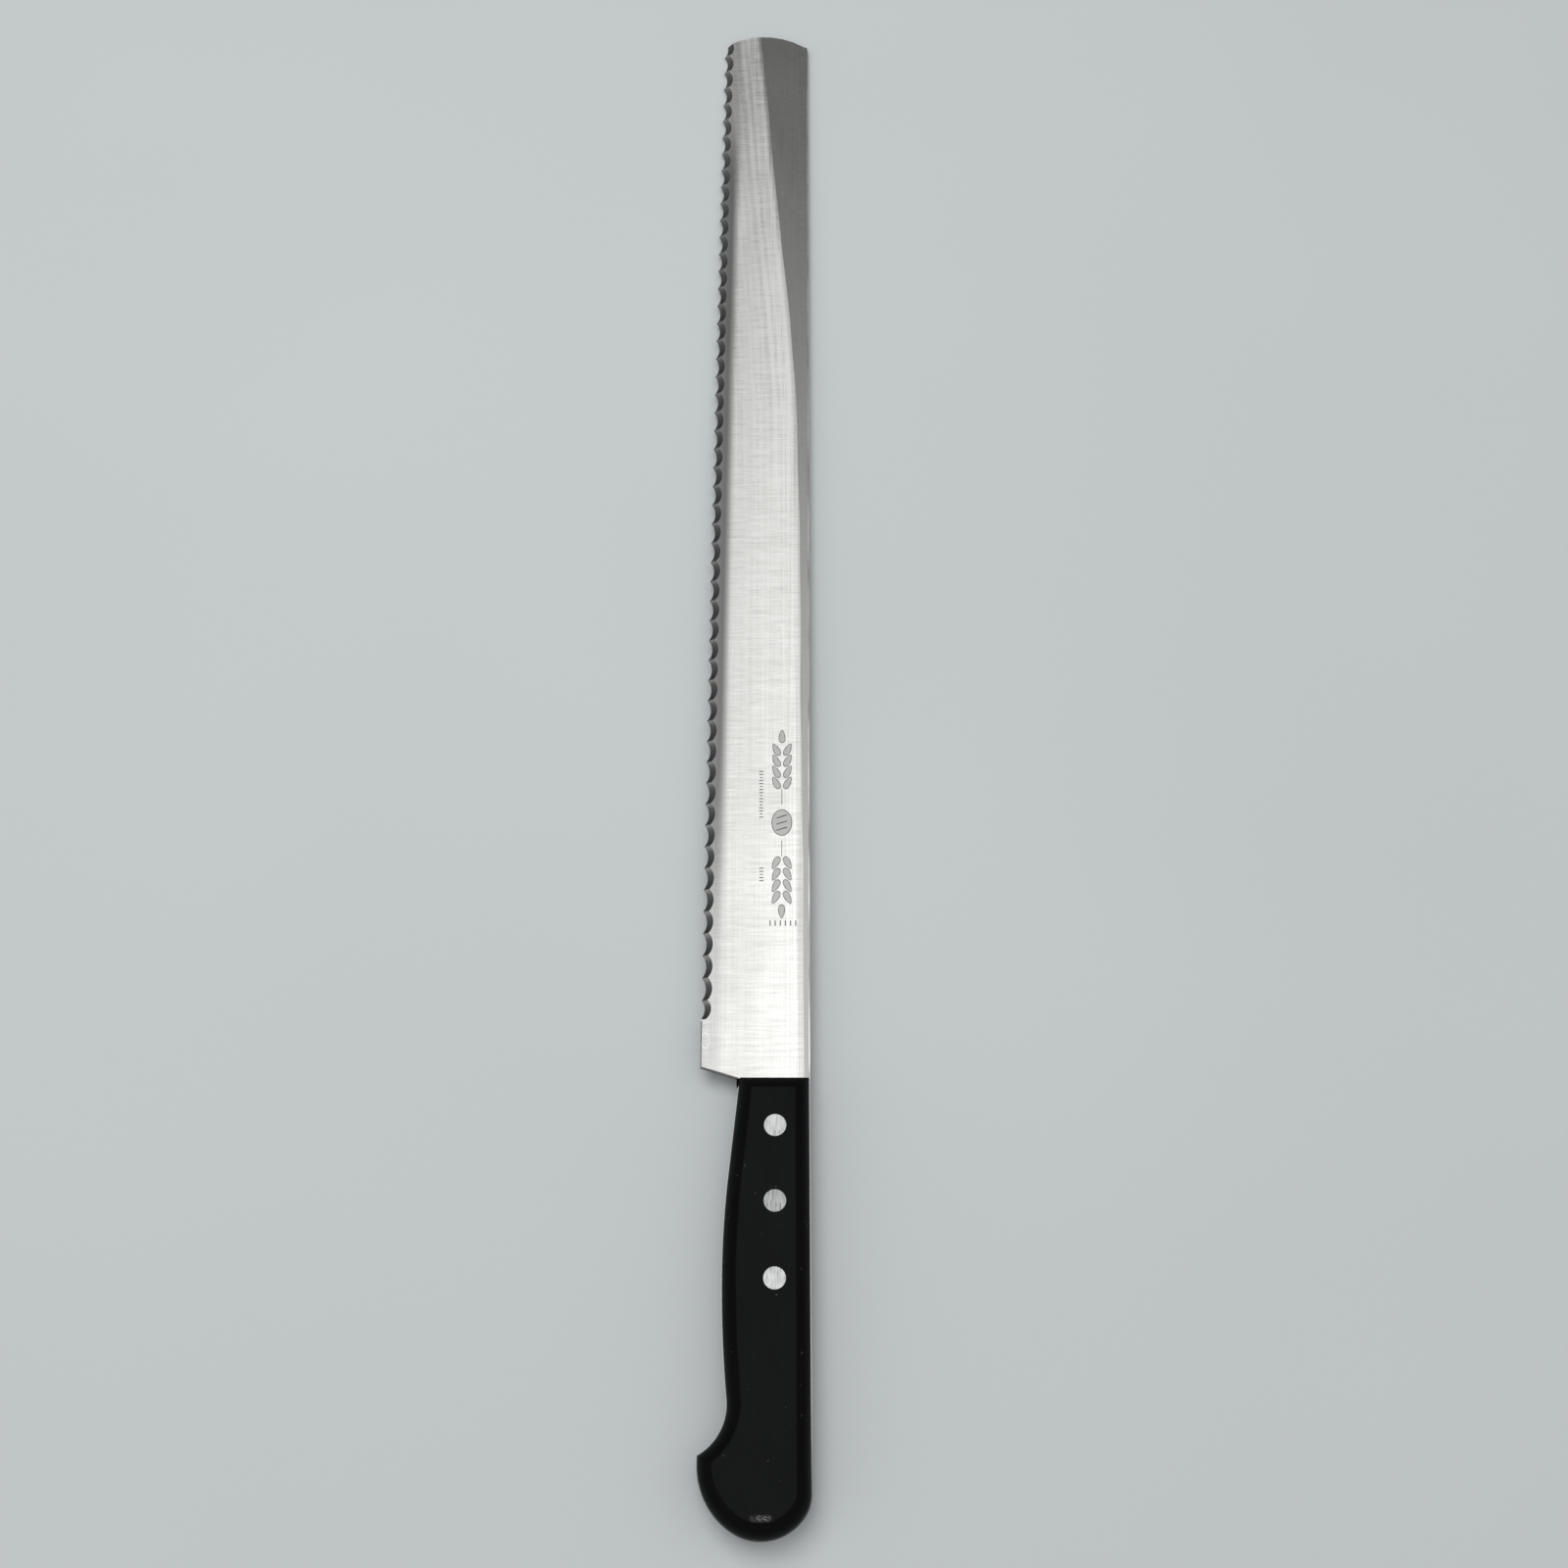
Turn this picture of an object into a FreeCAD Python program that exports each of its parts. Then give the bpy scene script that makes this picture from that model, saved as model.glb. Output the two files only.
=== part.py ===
import FreeCAD, Part
import math
import os

from FreeCAD import Vector

# A long serrated bread knife, lying on its side with the ground side up.
#
# The design datum is the front of the handle, on the line of the spine, at mid-thickness of the steel:
# +Y runs to the tip, +X is the spine side, -X the cutting edge, and +Z the side that carries the bevel.
# At the end every piece is moved together, so that the origin is the bottom centre of the whole knife.
# All sizes are in millimetres, and angles in degrees.

# ---- blade -------------------------------------------------------------------------------------
blade_length = 360.0        # front of the handle to the end of the tip
blade_height = 30.4         # spine to cutting edge, at the heel
edge_sweep = 2.6            # how much lower the blade is at the tip than at the heel
steel_thickness = 2.0       # the blank, at the spine and in the tang
edge_thickness = 1.0        # what the taper grind leaves behind the bevel
tip_radius = 24.0           # the blunt rounded end
tip_apex = 14.8             # from the spine to the furthest point of that end
tip_corner = 1.2            # length of the rounded corner between that end and the spine
heel_lead = 3.3             # the heel corner stands this far in front of the handle

# ---- taper grind, on both faces: how far from the spine the ground part starts ------------------
grind_start_heel = 1.7
grind_start_bend = 3.7
grind_start_tip = 15.4
grind_bend = 145.0          # from the tip back to where the line of the grind bends

# ---- serration ---------------------------------------------------------------------------------
tooth_pitch = 6.592
scallop_depth = 1.15
bevel_angle = 30.0          # between the bevel and the blade's face
tip_lead = 7.6              # end of the tip to the first tooth point
plain_heel = 17.2           # front of the handle to the end of the serration
run_out = 0.4               # the last scallop runs out this far past the plain edge

# ---- handle ------------------------------------------------------------------------------------
handle_length = 120.85
handle_thickness = 16.0     # over both scales
front_width = 19.1          # width of the scales at their front
spine_inset = 0.3           # the scales start this far inside the line of the spine
spine_rise = 0.4            # and come out by this much on the way to the butt
belly_width = 23.65         # spine line to the widest place of the grip
belly_place = 54.0          # that place, from the front
belly_radius = 260.0
waist_width = 22.0          # spine line to the bottom of the finger hollow
waist_place = 33.55         # that place, from the end of the butt
hollow_radius = 14.7        # the finger hollow, in front of the beak
butt_radii = (9.6, 13.8, 19.5)      # the rounded butt, from the spine side round to the beak
butt_turns = (33.4, 121.8)          # how far round one arc of the butt hands over to the next
edge_round = 6.5            # radius of the scales' rounded edge
edge_drop = 6.0             # height that the rounded edge takes, before the flat face cuts it off
tang_proud = 0.22           # the steel stands this much proud of the scales
nib_reach = 0.9             # small moulded stop at the front corner, behind the heel
nib_length = 1.9
nib_share = 0.8             # its height, as a share of the scale's straight side wall

# ---- rivets ------------------------------------------------------------------------------------
rivet_names = ("front", "middle", "rear")
rivet_first = 14.5          # front of the handle to the first rivet
rivet_spacing = 20.5
rivet_from_spine = 9.6
head_diameter = 6.1
head_height = 2.5
tube_diameter = 4.0
pin_diameter = 3.0
head_clearance = 0.02       # all round a head in its counterbore
tube_clearance = 0.1        # all round the tube in the scales and in the tang
pin_end_gap = 0.6           # bore left over past the end of the pin
tube_end_gap = 0.3          # end of the tube to the opposite head

# ---- values that follow ------------------------------------------------------------------------
half_steel = steel_thickness / 2
half_edge = edge_thickness / 2
half_handle = handle_thickness / 2
rounded_height = min(edge_drop, 0.9 * (half_handle - half_steel))
wall_top = half_handle - rounded_height
seat = half_handle - head_height        # height of the counterbores' floors
bevel = math.radians(bevel_angle)
trim = 1.5                  # spare stock on the cutting tools, outside the finished piece
reach = 2 * blade_height    # tools for the handle run this far past it
rivet_places = [rivet_first + rivet_spacing * i for i in range(len(rivet_names))]
spine_front = Vector(-spine_inset, 0, 0)
grip_front = Vector(-spine_inset - front_width, 0, 0)


def line(a, b):
    return Part.LineSegment(a, b).toShape()


def arc(a, middle, b):
    return Part.Arc(a, middle, b).toShape()


def prism(wire, bottom, top):
    """Solid between two heights, over a closed wire in the XY plane."""
    face = Part.Face(wire)
    face.translate(Vector(0, 0, bottom))
    return face.extrude(Vector(0, 0, top - bottom))


def rivet_round(diameter, place, bottom, top):
    """Upright cylinder at a rivet's place."""
    centre = Vector(-rivet_from_spine, -place, bottom)
    return Part.makeCylinder(diameter / 2, top - bottom, centre)


# ---- blade -------------------------------------------------------------------------------------
def edge_height(y):
    """Spine to the line of the tooth points, at a distance y in front of the handle."""
    return blade_height - edge_sweep * (y / blade_length) ** 2


def edge_curve(y_from, y_to, outset):
    """The line of the edge, moved out by outset. It is a parabola, which three poles give exactly."""
    middle = (y_from + y_to) / 2
    start = Vector(-edge_height(y_from) - outset, y_from, 0)
    end = Vector(-edge_height(y_to) - outset, y_to, 0)
    pole = Vector(-2 * edge_height(middle) - 2 * outset - (start.x + end.x) / 2, middle, 0)
    curve = Part.BezierCurve()
    curve.setPoles([start, pole, end])
    return curve.toShape()


def tip_end(x):
    """Where the rounded tip ends, at a place x across the blade."""
    return blade_length - tip_radius + math.sqrt(tip_radius ** 2 - (x + tip_apex) ** 2)


def tooth_points():
    """Distances of the tooth points from the handle, from just past the tip back to the plain heel."""
    first = blade_length - tip_lead
    count = int((first - plain_heel) / tooth_pitch)
    points = [first - tooth_pitch * i for i in range(-1, count + 1)]
    if points[-1] - plain_heel < tooth_pitch / 4:
        points.pop()
    return points + [plain_heel]


def blade_outline():
    """Outline of the blank. Along the serration it has spare stock, which the scallops take off."""
    teeth = tooth_points()
    step = (teeth[-1] + teeth[-2]) / 2
    spine_corner = Vector(0, tip_end(0) - tip_corner, 0)
    end_corner = Vector(-tip_corner, tip_end(-tip_corner), 0)
    corner_middle = (spine_corner + end_corner) / 2 + Vector(1, 1, 0) * (0.2 * tip_corner)
    side = -edge_height(blade_length) - trim
    far_corner = Vector(side, tip_end(side), 0)
    stock_start = Vector(-edge_height(far_corner.y) - trim, far_corner.y, 0)
    stock_end = Vector(-edge_height(step) - trim, step, 0)
    heel = Vector(-edge_height(heel_lead), heel_lead, 0)
    tang = grip_front - Vector(tang_proud, 0, 0)
    return Part.Wire([
        line(Vector(0, 0, 0), spine_corner),
        arc(spine_corner, corner_middle, end_corner),
        arc(end_corner, Vector(-tip_apex, blade_length, 0), far_corner),
        line(far_corner, stock_start),
        edge_curve(stock_start.y, step, trim),
        line(stock_end, Vector(-edge_height(step), step, 0)),
        edge_curve(step, heel_lead, 0),
        line(heel, tang),
        line(tang, Vector(0, 0, 0)),
    ])


def taper_tool(side):
    """What the wide grinding wheel takes off one face: side is 1 for the top and -1 for the back."""
    stations = (
        (0.0, grind_start_heel),
        (blade_length - grind_bend, grind_start_bend),
        (blade_length + trim, grind_start_tip),
    )
    sections = []
    for y, start in stations:
        edge = edge_height(y)
        far = edge + 2 * trim
        low = half_steel - (half_steel - half_edge) * (far - start) / (edge - start)
        above = half_steel + trim
        corners = ((-start, half_steel), (-far, low), (-far, above), (-start, above), (-start, half_steel))
        sections.append(Part.makePolygon([Vector(x, y, side * z) for x, z in corners]))
    return Part.makeLoft(sections, True, True)


def scallop_tool():
    """The row of scallops as one tool: a chain of arcs, pushed along the slope of the bevel."""
    points = [Vector(-edge_height(y), y, 0) for y in tooth_points()]
    points[-1].x -= run_out
    edges = []
    for a, b in zip(points, points[1:]):
        edges.append(arc(a, (a + b) / 2 + Vector(scallop_depth, 0, 0), b))
    first = Vector(-reach, points[0].y, 0)
    last = Vector(-reach, points[-1].y, 0)
    edges += [line(points[-1], last), line(last, first), line(first, points[0])]
    face = Part.Face(Part.Wire(edges))
    bottom = -half_edge - trim
    top = half_steel + trim
    face.translate(Vector((bottom + half_edge) / math.tan(bevel), 0, bottom))
    return face.extrude(Vector((top - bottom) / math.tan(bevel), 0, top - bottom))


def make_blade():
    """One piece of steel: the serrated blade, and the full tang that runs through the handle."""
    blade = prism(blade_outline(), -half_steel, half_steel)
    for side in (1, -1):
        blade = blade.cut(taper_tool(side))
    blade = blade.cut(scallop_tool())
    tang = prism(handle_outline().makeOffset2D(tang_proud, join=0), -half_steel, half_steel)
    behind_front = Part.makeBox(2 * reach, 2 * handle_length, steel_thickness)
    behind_front.translate(Vector(-reach, -2 * handle_length, -half_steel))
    steel = blade.fuse(tang.common(behind_front)).removeSplitter()
    for place in rivet_places:
        steel = steel.cut(rivet_round(tube_diameter + 2 * tube_clearance, place, -half_steel, half_steel))
    return steel


# ---- handle ------------------------------------------------------------------------------------
def on_circle(centre, radius, turn):
    """Point on a circle: turn is measured clockwise from the spine side, seen from above."""
    angle = math.radians(turn)
    return centre + Vector(radius * math.cos(angle), -radius * math.sin(angle), 0)


def round_from(centre, radius, start, end):
    """Arc between two points of a circle, the short way round."""
    outward = (start + end) / 2 - centre
    return arc(start, centre + outward * (radius / outward.Length), end)


def touch_point(point, centre, radius, side):
    """Where a line from a point touches a circle: side is 1 on the edge side, and -1 on the spine side."""
    away = point - centre
    angle = math.atan2(away.y, away.x) + side * math.acos(radius / away.Length)
    return centre + Vector(math.cos(angle), math.sin(angle), 0) * radius


def hollow_centre():
    return Vector(-waist_width - hollow_radius, waist_place - handle_length, 0)


def spine_and_butt():
    """Spine side and the three arcs of the rounded butt, ending at the back of the beak."""
    small, middle, large = butt_radii
    first_turn, second_turn = butt_turns
    step_in = (middle - small) * math.cos(math.radians(first_turn))
    spine_x = spine_rise - spine_inset
    middle_centre = Vector(spine_x - small - step_in, middle - handle_length, 0)
    small_centre = on_circle(middle_centre, middle - small, first_turn)
    large_centre = on_circle(middle_centre, middle - large, second_turn)
    spine_end = touch_point(spine_front, small_centre, small, -1)
    first_joint = on_circle(small_centre, small, first_turn)
    second_joint = on_circle(middle_centre, middle, second_turn)
    beak_back = on_circle(large_centre, large, 180)
    return [
        line(spine_front, spine_end),
        round_from(small_centre, small, spine_end, first_joint),
        round_from(middle_centre, middle, first_joint, second_joint),
        round_from(large_centre, large, second_joint, beak_back),
    ], beak_back


def hollow_and_grip(start):
    """From a point on the finger hollow to the front: the hollow, the two arcs of the belly, a straight."""
    hollow = hollow_centre()
    bulge = belly_width - waist_width
    ahead = -belly_place - hollow.y
    rear_radius = ((hollow_radius - bulge) ** 2 + ahead ** 2 - hollow_radius ** 2) / (2 * bulge)
    rear_centre = Vector(rear_radius - belly_width, -belly_place, 0)
    fore_centre = Vector(belly_radius - belly_width, -belly_place, 0)
    belly = Vector(-belly_width, -belly_place, 0)
    hollow_end = hollow + (rear_centre - hollow).normalize() * hollow_radius
    grip_start = touch_point(grip_front, fore_centre, belly_radius, 1)
    return [
        round_from(hollow, hollow_radius, start, hollow_end),
        round_from(rear_centre, rear_radius, hollow_end, belly),
        round_from(fore_centre, belly_radius, belly, grip_start),
        line(grip_start, grip_front),
    ], grip_start


def beak_point(beak_back):
    """The beak: the corner where its straight back meets the finger hollow."""
    across = beak_back.x - hollow_centre().x
    return Vector(beak_back.x, hollow_centre().y - math.sqrt(hollow_radius ** 2 - across ** 2), 0)


def handle_outline():
    """The outline that both scales share."""
    butt, beak_back = spine_and_butt()
    beak = beak_point(beak_back)
    grip, _ = hollow_and_grip(beak)
    return Part.Wire(butt + [line(beak_back, beak)] + grip + [line(grip_front, spine_front)])


def rounded_block(chain, corners):
    """Block over a smooth chain of edges, closed through the corners, and rounded along the chain alone."""
    closing = [chain[-1].Vertexes[-1].Point] + corners + [chain[0].Vertexes[0].Point]
    sides = [line(a, b) for a, b in zip(closing, closing[1:])]
    block = prism(Part.Wire(chain + sides), half_steel, wall_top + edge_round)
    rounded = []
    for edge in block.Edges:
        on_top = min(v.Z for v in edge.Vertexes) > wall_top
        middle = edge.valueAt((edge.FirstParameter + edge.LastParameter) / 2)
        foot = Part.Vertex(middle.x, middle.y, 0)
        if on_top and min(foot.distToShape(e)[0] for e in chain) < 1e-4:
            rounded.append(edge)
    return block.makeFillet(edge_round, rounded)


def butt_block():
    """Rounded along the spine side, the butt and the back of the beak, which run on past the front."""
    butt, beak_back = spine_and_butt()
    spine_end = butt[0].Vertexes[-1].Point
    ahead = spine_front + (spine_front - spine_end).normalize() * reach
    butt[0] = line(ahead, spine_end)
    return rounded_block(butt + [line(beak_back, Vector(beak_back.x, ahead.y, 0))], [])


def grip_block():
    """Rounded along the finger hollow and the grip, which run on past the beak and the front."""
    low = hollow_centre() - Vector(0, hollow_radius, 0)
    grip, grip_start = hollow_and_grip(low)
    ahead = grip_front + (grip_front - grip_start).normalize() * reach
    grip[-1] = line(grip_start, ahead)
    outside = Vector(-2 * reach, low.y, 0)
    behind = -2 * handle_length
    corners = [Vector(reach, ahead.y, 0), Vector(reach, behind, 0), Vector(-2 * reach, behind, 0)]
    return rounded_block([line(outside, low)] + grip, corners)


def front_block():
    """Rounded along the front."""
    behind = -2 * handle_length
    front = line(Vector(-2 * reach, 0, 0), Vector(reach, 0, 0))
    return rounded_block([front], [Vector(reach, behind, 0), Vector(-2 * reach, behind, 0)])


def make_scale(side):
    """A handle scale: side is 1 for the upper and -1 for the lower.

    It is what three blocks have in common, each rounded along one smooth stretch of the outline, so the
    rounding comes to a mitre at the beak and at both front corners. The flat face cuts the rounding off.
    """
    slab = Part.makeBox(3 * reach, 2 * handle_length, half_handle - half_steel)
    slab.translate(Vector(-2 * reach, -1.5 * handle_length, half_steel))
    scale = slab.common(butt_block()).common(grip_block()).common(front_block())
    nib_height = nib_share * (wall_top - half_steel)
    nib = Part.makeBox(nib_reach + edge_round / 4, nib_length, nib_height)
    nib.translate(Vector(grip_front.x - nib_reach, -nib_length, half_steel))
    scale = scale.fuse(nib).removeSplitter()
    for place in rivet_places:
        scale = scale.cut(rivet_round(tube_diameter + 2 * tube_clearance, place, half_steel, half_handle))
        scale = scale.cut(rivet_round(head_diameter + 2 * head_clearance, place, seat, half_handle))
    if side < 0:
        scale = scale.mirror(Vector(0, 0, 0), Vector(0, 0, 1))
    return scale


# ---- rivets ------------------------------------------------------------------------------------
def make_rivet_tube(place):
    """Upper half of a rivet: a head with a tube below it, which the other half is pressed into."""
    head = rivet_round(head_diameter, place, seat, half_handle)
    tube = rivet_round(tube_diameter, place, tube_end_gap - seat, seat)
    return head.fuse(tube).removeSplitter().cut(rivet_round(pin_diameter, place, -seat, seat))


def make_rivet_pin(place):
    """Lower half of a rivet: a head with a solid pin."""
    head = rivet_round(head_diameter, place, -half_handle, -seat)
    pin = rivet_round(pin_diameter, place, -seat, seat - pin_end_gap)
    return head.fuse(pin).removeSplitter()


# ---- the whole knife ---------------------------------------------------------------------------
pieces = {
    "blade": make_blade(),
    "upper_scale": make_scale(1),
    "lower_scale": make_scale(-1),
}
for name, place in zip(rivet_names, rivet_places):
    pieces["rivet_tube_" + name] = make_rivet_tube(place)
    pieces["rivet_pin_" + name] = make_rivet_pin(place)

box = Part.makeCompound(list(pieces.values())).optimalBoundingBox(False)
origin = Vector((box.XMin + box.XMax) / 2, (box.YMin + box.YMax) / 2, box.ZMin)
os.makedirs("parts", exist_ok=True)
for name, piece in pieces.items():
    solid = piece.Solids[0]
    solid.translate(-origin)
    solid.exportStep("parts/" + name + ".step")
    print(name, len(piece.Solids), solid.isValid(), round(solid.Volume, 1))
print("origin in the datum", tuple(round(v, 3) for v in origin))
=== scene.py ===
import math

import bmesh
import bpy
import numpy as np
from mathutils import Matrix, Quaternion, Vector
from mathutils.geometry import tessellate_polygon


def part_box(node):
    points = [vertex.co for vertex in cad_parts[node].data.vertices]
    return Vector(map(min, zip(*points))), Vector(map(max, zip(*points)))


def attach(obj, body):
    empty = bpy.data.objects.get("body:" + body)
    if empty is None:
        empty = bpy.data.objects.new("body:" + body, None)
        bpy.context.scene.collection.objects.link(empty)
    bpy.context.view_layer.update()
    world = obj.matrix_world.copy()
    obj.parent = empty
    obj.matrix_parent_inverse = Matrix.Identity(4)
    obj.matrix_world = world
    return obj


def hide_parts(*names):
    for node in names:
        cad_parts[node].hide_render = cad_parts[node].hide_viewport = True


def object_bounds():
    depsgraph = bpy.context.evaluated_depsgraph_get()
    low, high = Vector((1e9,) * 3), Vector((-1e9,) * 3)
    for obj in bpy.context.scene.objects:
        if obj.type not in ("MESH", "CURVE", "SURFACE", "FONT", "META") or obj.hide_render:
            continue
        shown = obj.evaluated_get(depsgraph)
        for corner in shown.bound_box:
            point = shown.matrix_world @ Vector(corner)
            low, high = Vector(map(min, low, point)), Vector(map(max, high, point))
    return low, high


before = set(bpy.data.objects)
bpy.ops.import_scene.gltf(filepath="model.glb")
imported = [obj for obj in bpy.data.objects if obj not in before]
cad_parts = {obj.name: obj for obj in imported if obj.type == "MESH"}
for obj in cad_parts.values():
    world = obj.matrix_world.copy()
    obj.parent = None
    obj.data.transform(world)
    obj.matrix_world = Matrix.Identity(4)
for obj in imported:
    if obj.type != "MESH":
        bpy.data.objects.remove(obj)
cad_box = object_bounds()

# The knife is worked out in millimetres from its own datum, and at() moves a point into the frame, in metres.
# The datum is the front of the handle, on the line of the spine, at mid-thickness of the steel: y runs to the
# tip, x is 0 at the spine and negative towards the cutting edge, and z is up, to the ground side.
MM = 0.001
BLADE_LENGTH = 360.0
BLADE_HEIGHT = 30.4
blade_low, blade_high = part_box("blade")
scale_low, scale_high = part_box("upper_scale")
SPINE_X = blade_low.x + BLADE_HEIGHT * MM
FRONT_Y = scale_high.y
MIDDLE_Z = (blade_low.z + blade_high.z) / 2
HALF_STEEL = (blade_high.z - blade_low.z) / 2 / MM
HALF_HANDLE = (scale_high.z - MIDDLE_Z) / MM
CREASE = 25.0  # degrees between two faces that make their edge sharp
SCALE_CREASE = 40.0
MERGE_WITHIN = 2e-7


def at(x, y, z):
    return Vector((SPINE_X + x * MM, FRONT_Y + y * MM, MIDDLE_Z + z * MM))


# ---- meshes ----
class Shape:
    """Collects the points and faces of one piece, with a finish number on each face, and makes its object.

    Each point also has two pairs of surface coordinates in millimetres, for the blade's materials: along and
    across the blade, and the distances from the line of the grind and from the line of the tooth points.
    """

    def __init__(self):
        self.points = []
        self.faces = []
        self.finish = []
        self.sheets = ([], [])

    def point(self, x, y, z, along=(0.0, 0.0), lines=(0.0, 0.0)):
        self.points.append((x, y, z))
        self.sheets[0].append(along)
        self.sheets[1].append(lines)
        return len(self.points) - 1

    def face(self, corners, finish=0):
        if len(set(corners)) > 2:
            self.faces.append(tuple(dict.fromkeys(corners)))
            self.finish.append(finish)

    def strip(self, a, b, finish=0, closed=False):
        """Quads between two rows of the same length."""
        for i in range(len(a) if closed else len(a) - 1):
            j = (i + 1) % len(a)
            self.face([a[i], a[j], b[j], b[i]], finish)

    def plate(self, rim, holes, finish=0):
        """A flat face with holes, given as lists of point numbers."""
        loops = [rim] + holes
        numbers = [n for loop in loops for n in loop]
        for triangle in tessellate_polygon([[Vector(self.points[n]) for n in loop] for loop in loops]):
            self.face([numbers[i] for i in triangle], finish)

    def make(self, name, materials, crease=CREASE):
        mesh = bpy.data.meshes.new(name)
        mesh.from_pydata([at(*p) for p in self.points], [], self.faces)
        for material in materials:
            mesh.materials.append(material)
        mesh.polygons.foreach_set("material_index", self.finish)
        mesh.polygons.foreach_set("use_smooth", [True] * len(self.faces))
        corners = np.zeros(len(mesh.loops), int)
        mesh.loops.foreach_get("vertex_index", corners)
        for title, sheet in zip(("along", "lines"), self.sheets):
            layer = mesh.uv_layers.new(name=title)
            layer.data.foreach_set("uv", np.array(sheet)[corners].ravel())
        work = bmesh.new()
        work.from_mesh(mesh)
        bmesh.ops.remove_doubles(work, verts=work.verts, dist=MERGE_WITHIN)
        bmesh.ops.dissolve_degenerate(work, edges=work.edges, dist=MERGE_WITHIN / 2)
        bmesh.ops.recalc_face_normals(work, faces=work.faces)
        for edge in work.edges:
            faces = edge.link_faces
            bends = len(faces) == 2 and faces[0].normal.angle(faces[1].normal, 0) > math.radians(crease)
            edge.smooth = not bends
        work.to_mesh(mesh)
        work.free()
        piece = bpy.data.objects.new(name, mesh)
        bpy.context.scene.collection.objects.link(piece)
        return piece


def stand_for(piece, node):
    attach(piece, "root")
    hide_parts(node)
    return piece


# ---- materials ----
NOISE_LOW, NOISE_HIGH = 0.3, 0.7        # nearly all of a noise lies between these
GROUND_TONE = (0.78, 0.78, 0.76)
GROUND_DARK = (0.60, 0.60, 0.58)
GROUND_LIGHT = (0.93, 0.927, 0.905)
# painted shade behind the teeth, where the face turns down to the bevel
SHOULDER_SHADE_TONE = (0.25, 0.255, 0.25)
SHOULDER_RELIEF = 0.36  # depth in millimetres of the soft turn of the face just behind the bevel
HEEL_STAMP = (29.1, 11.1, 1.15, 2.2)  # a faint oval left by the grinding jig: across, along, half widths
BACK_OFFSET = 60.0  # the back's surface coordinates start this far on from the face's
# painted shade: the dark edge lines of the blade, and the tang's rim darkening at the butt
PAINTED_SHADE_TONE = (0.03, 0.03, 0.029)
STRIP_TONE = (0.37, 0.37, 0.355)
STRIP_DARK = (0.32, 0.32, 0.305)
STRIP_LIGHT = (0.42, 0.42, 0.405)
# polished corner, lightened as a painted highlight along the spine
CORNER_HIGHLIGHT_TONE = (0.88, 0.88, 0.87)
# painted shade: the sawn sides of the blank are coloured very dark
SIDE_SHADE_TONE = (0.15, 0.15, 0.145)
SIDE_SHADE_DARK = (0.045, 0.045, 0.043)
SIDE_SHADE_LIGHT = (0.10, 0.10, 0.098)
BEVEL_TONE = (0.40, 0.40, 0.39)
BEVEL_DARK = (0.17, 0.17, 0.165)
BEVEL_LIGHT = (0.36, 0.36, 0.35)
LINE_TONES = ((0.16, 0.16, 0.155), (0.24, 0.24, 0.235))
FILL_TONES = ((0.56, 0.56, 0.545), (0.68, 0.68, 0.665))
PLASTIC_TONE = (0.007, 0.007, 0.0074)
PLASTIC_DARK = (0.0042, 0.0045, 0.0045)
PLASTIC_LIGHT = (0.0078, 0.0083, 0.0082)
# painted shade: the rounded edges are coloured darker than the sanded face
PLASTIC_EDGE_SHADE_DARK = (0.0020, 0.0021, 0.0021)
PLASTIC_EDGE_SHADE_LIGHT = (0.0036, 0.0037, 0.0037)
PLASTIC_GLOSS = 0.04
# the painted shade of the rounded edge ends at the sanded face
SANDED_FROM = (7.86, 7.97)  # heights between which the rounded edge turns into the sanded face
SCUFF_TONE = (0.22, 0.22, 0.225)
BUTT_SCUFF = (12.8, 115.9)  # from the spine, and from the front
SCUFF_ACROSS = (1.6, 3.2)  # distances from its middle between which the scuff fades, across and along
SCUFF_ALONG = (0.2, 1.1)
SCUFF_HEIGHT = (6.6, 7.2)  # and the heights between which it starts
RIVET_TONE = (0.60, 0.61, 0.61)
RIVET_DARK = (0.46, 0.47, 0.47)
RIVET_LIGHT = (0.63, 0.635, 0.635)
RIVET_SCRATCH = (0.20, 0.21, 0.21)


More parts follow.
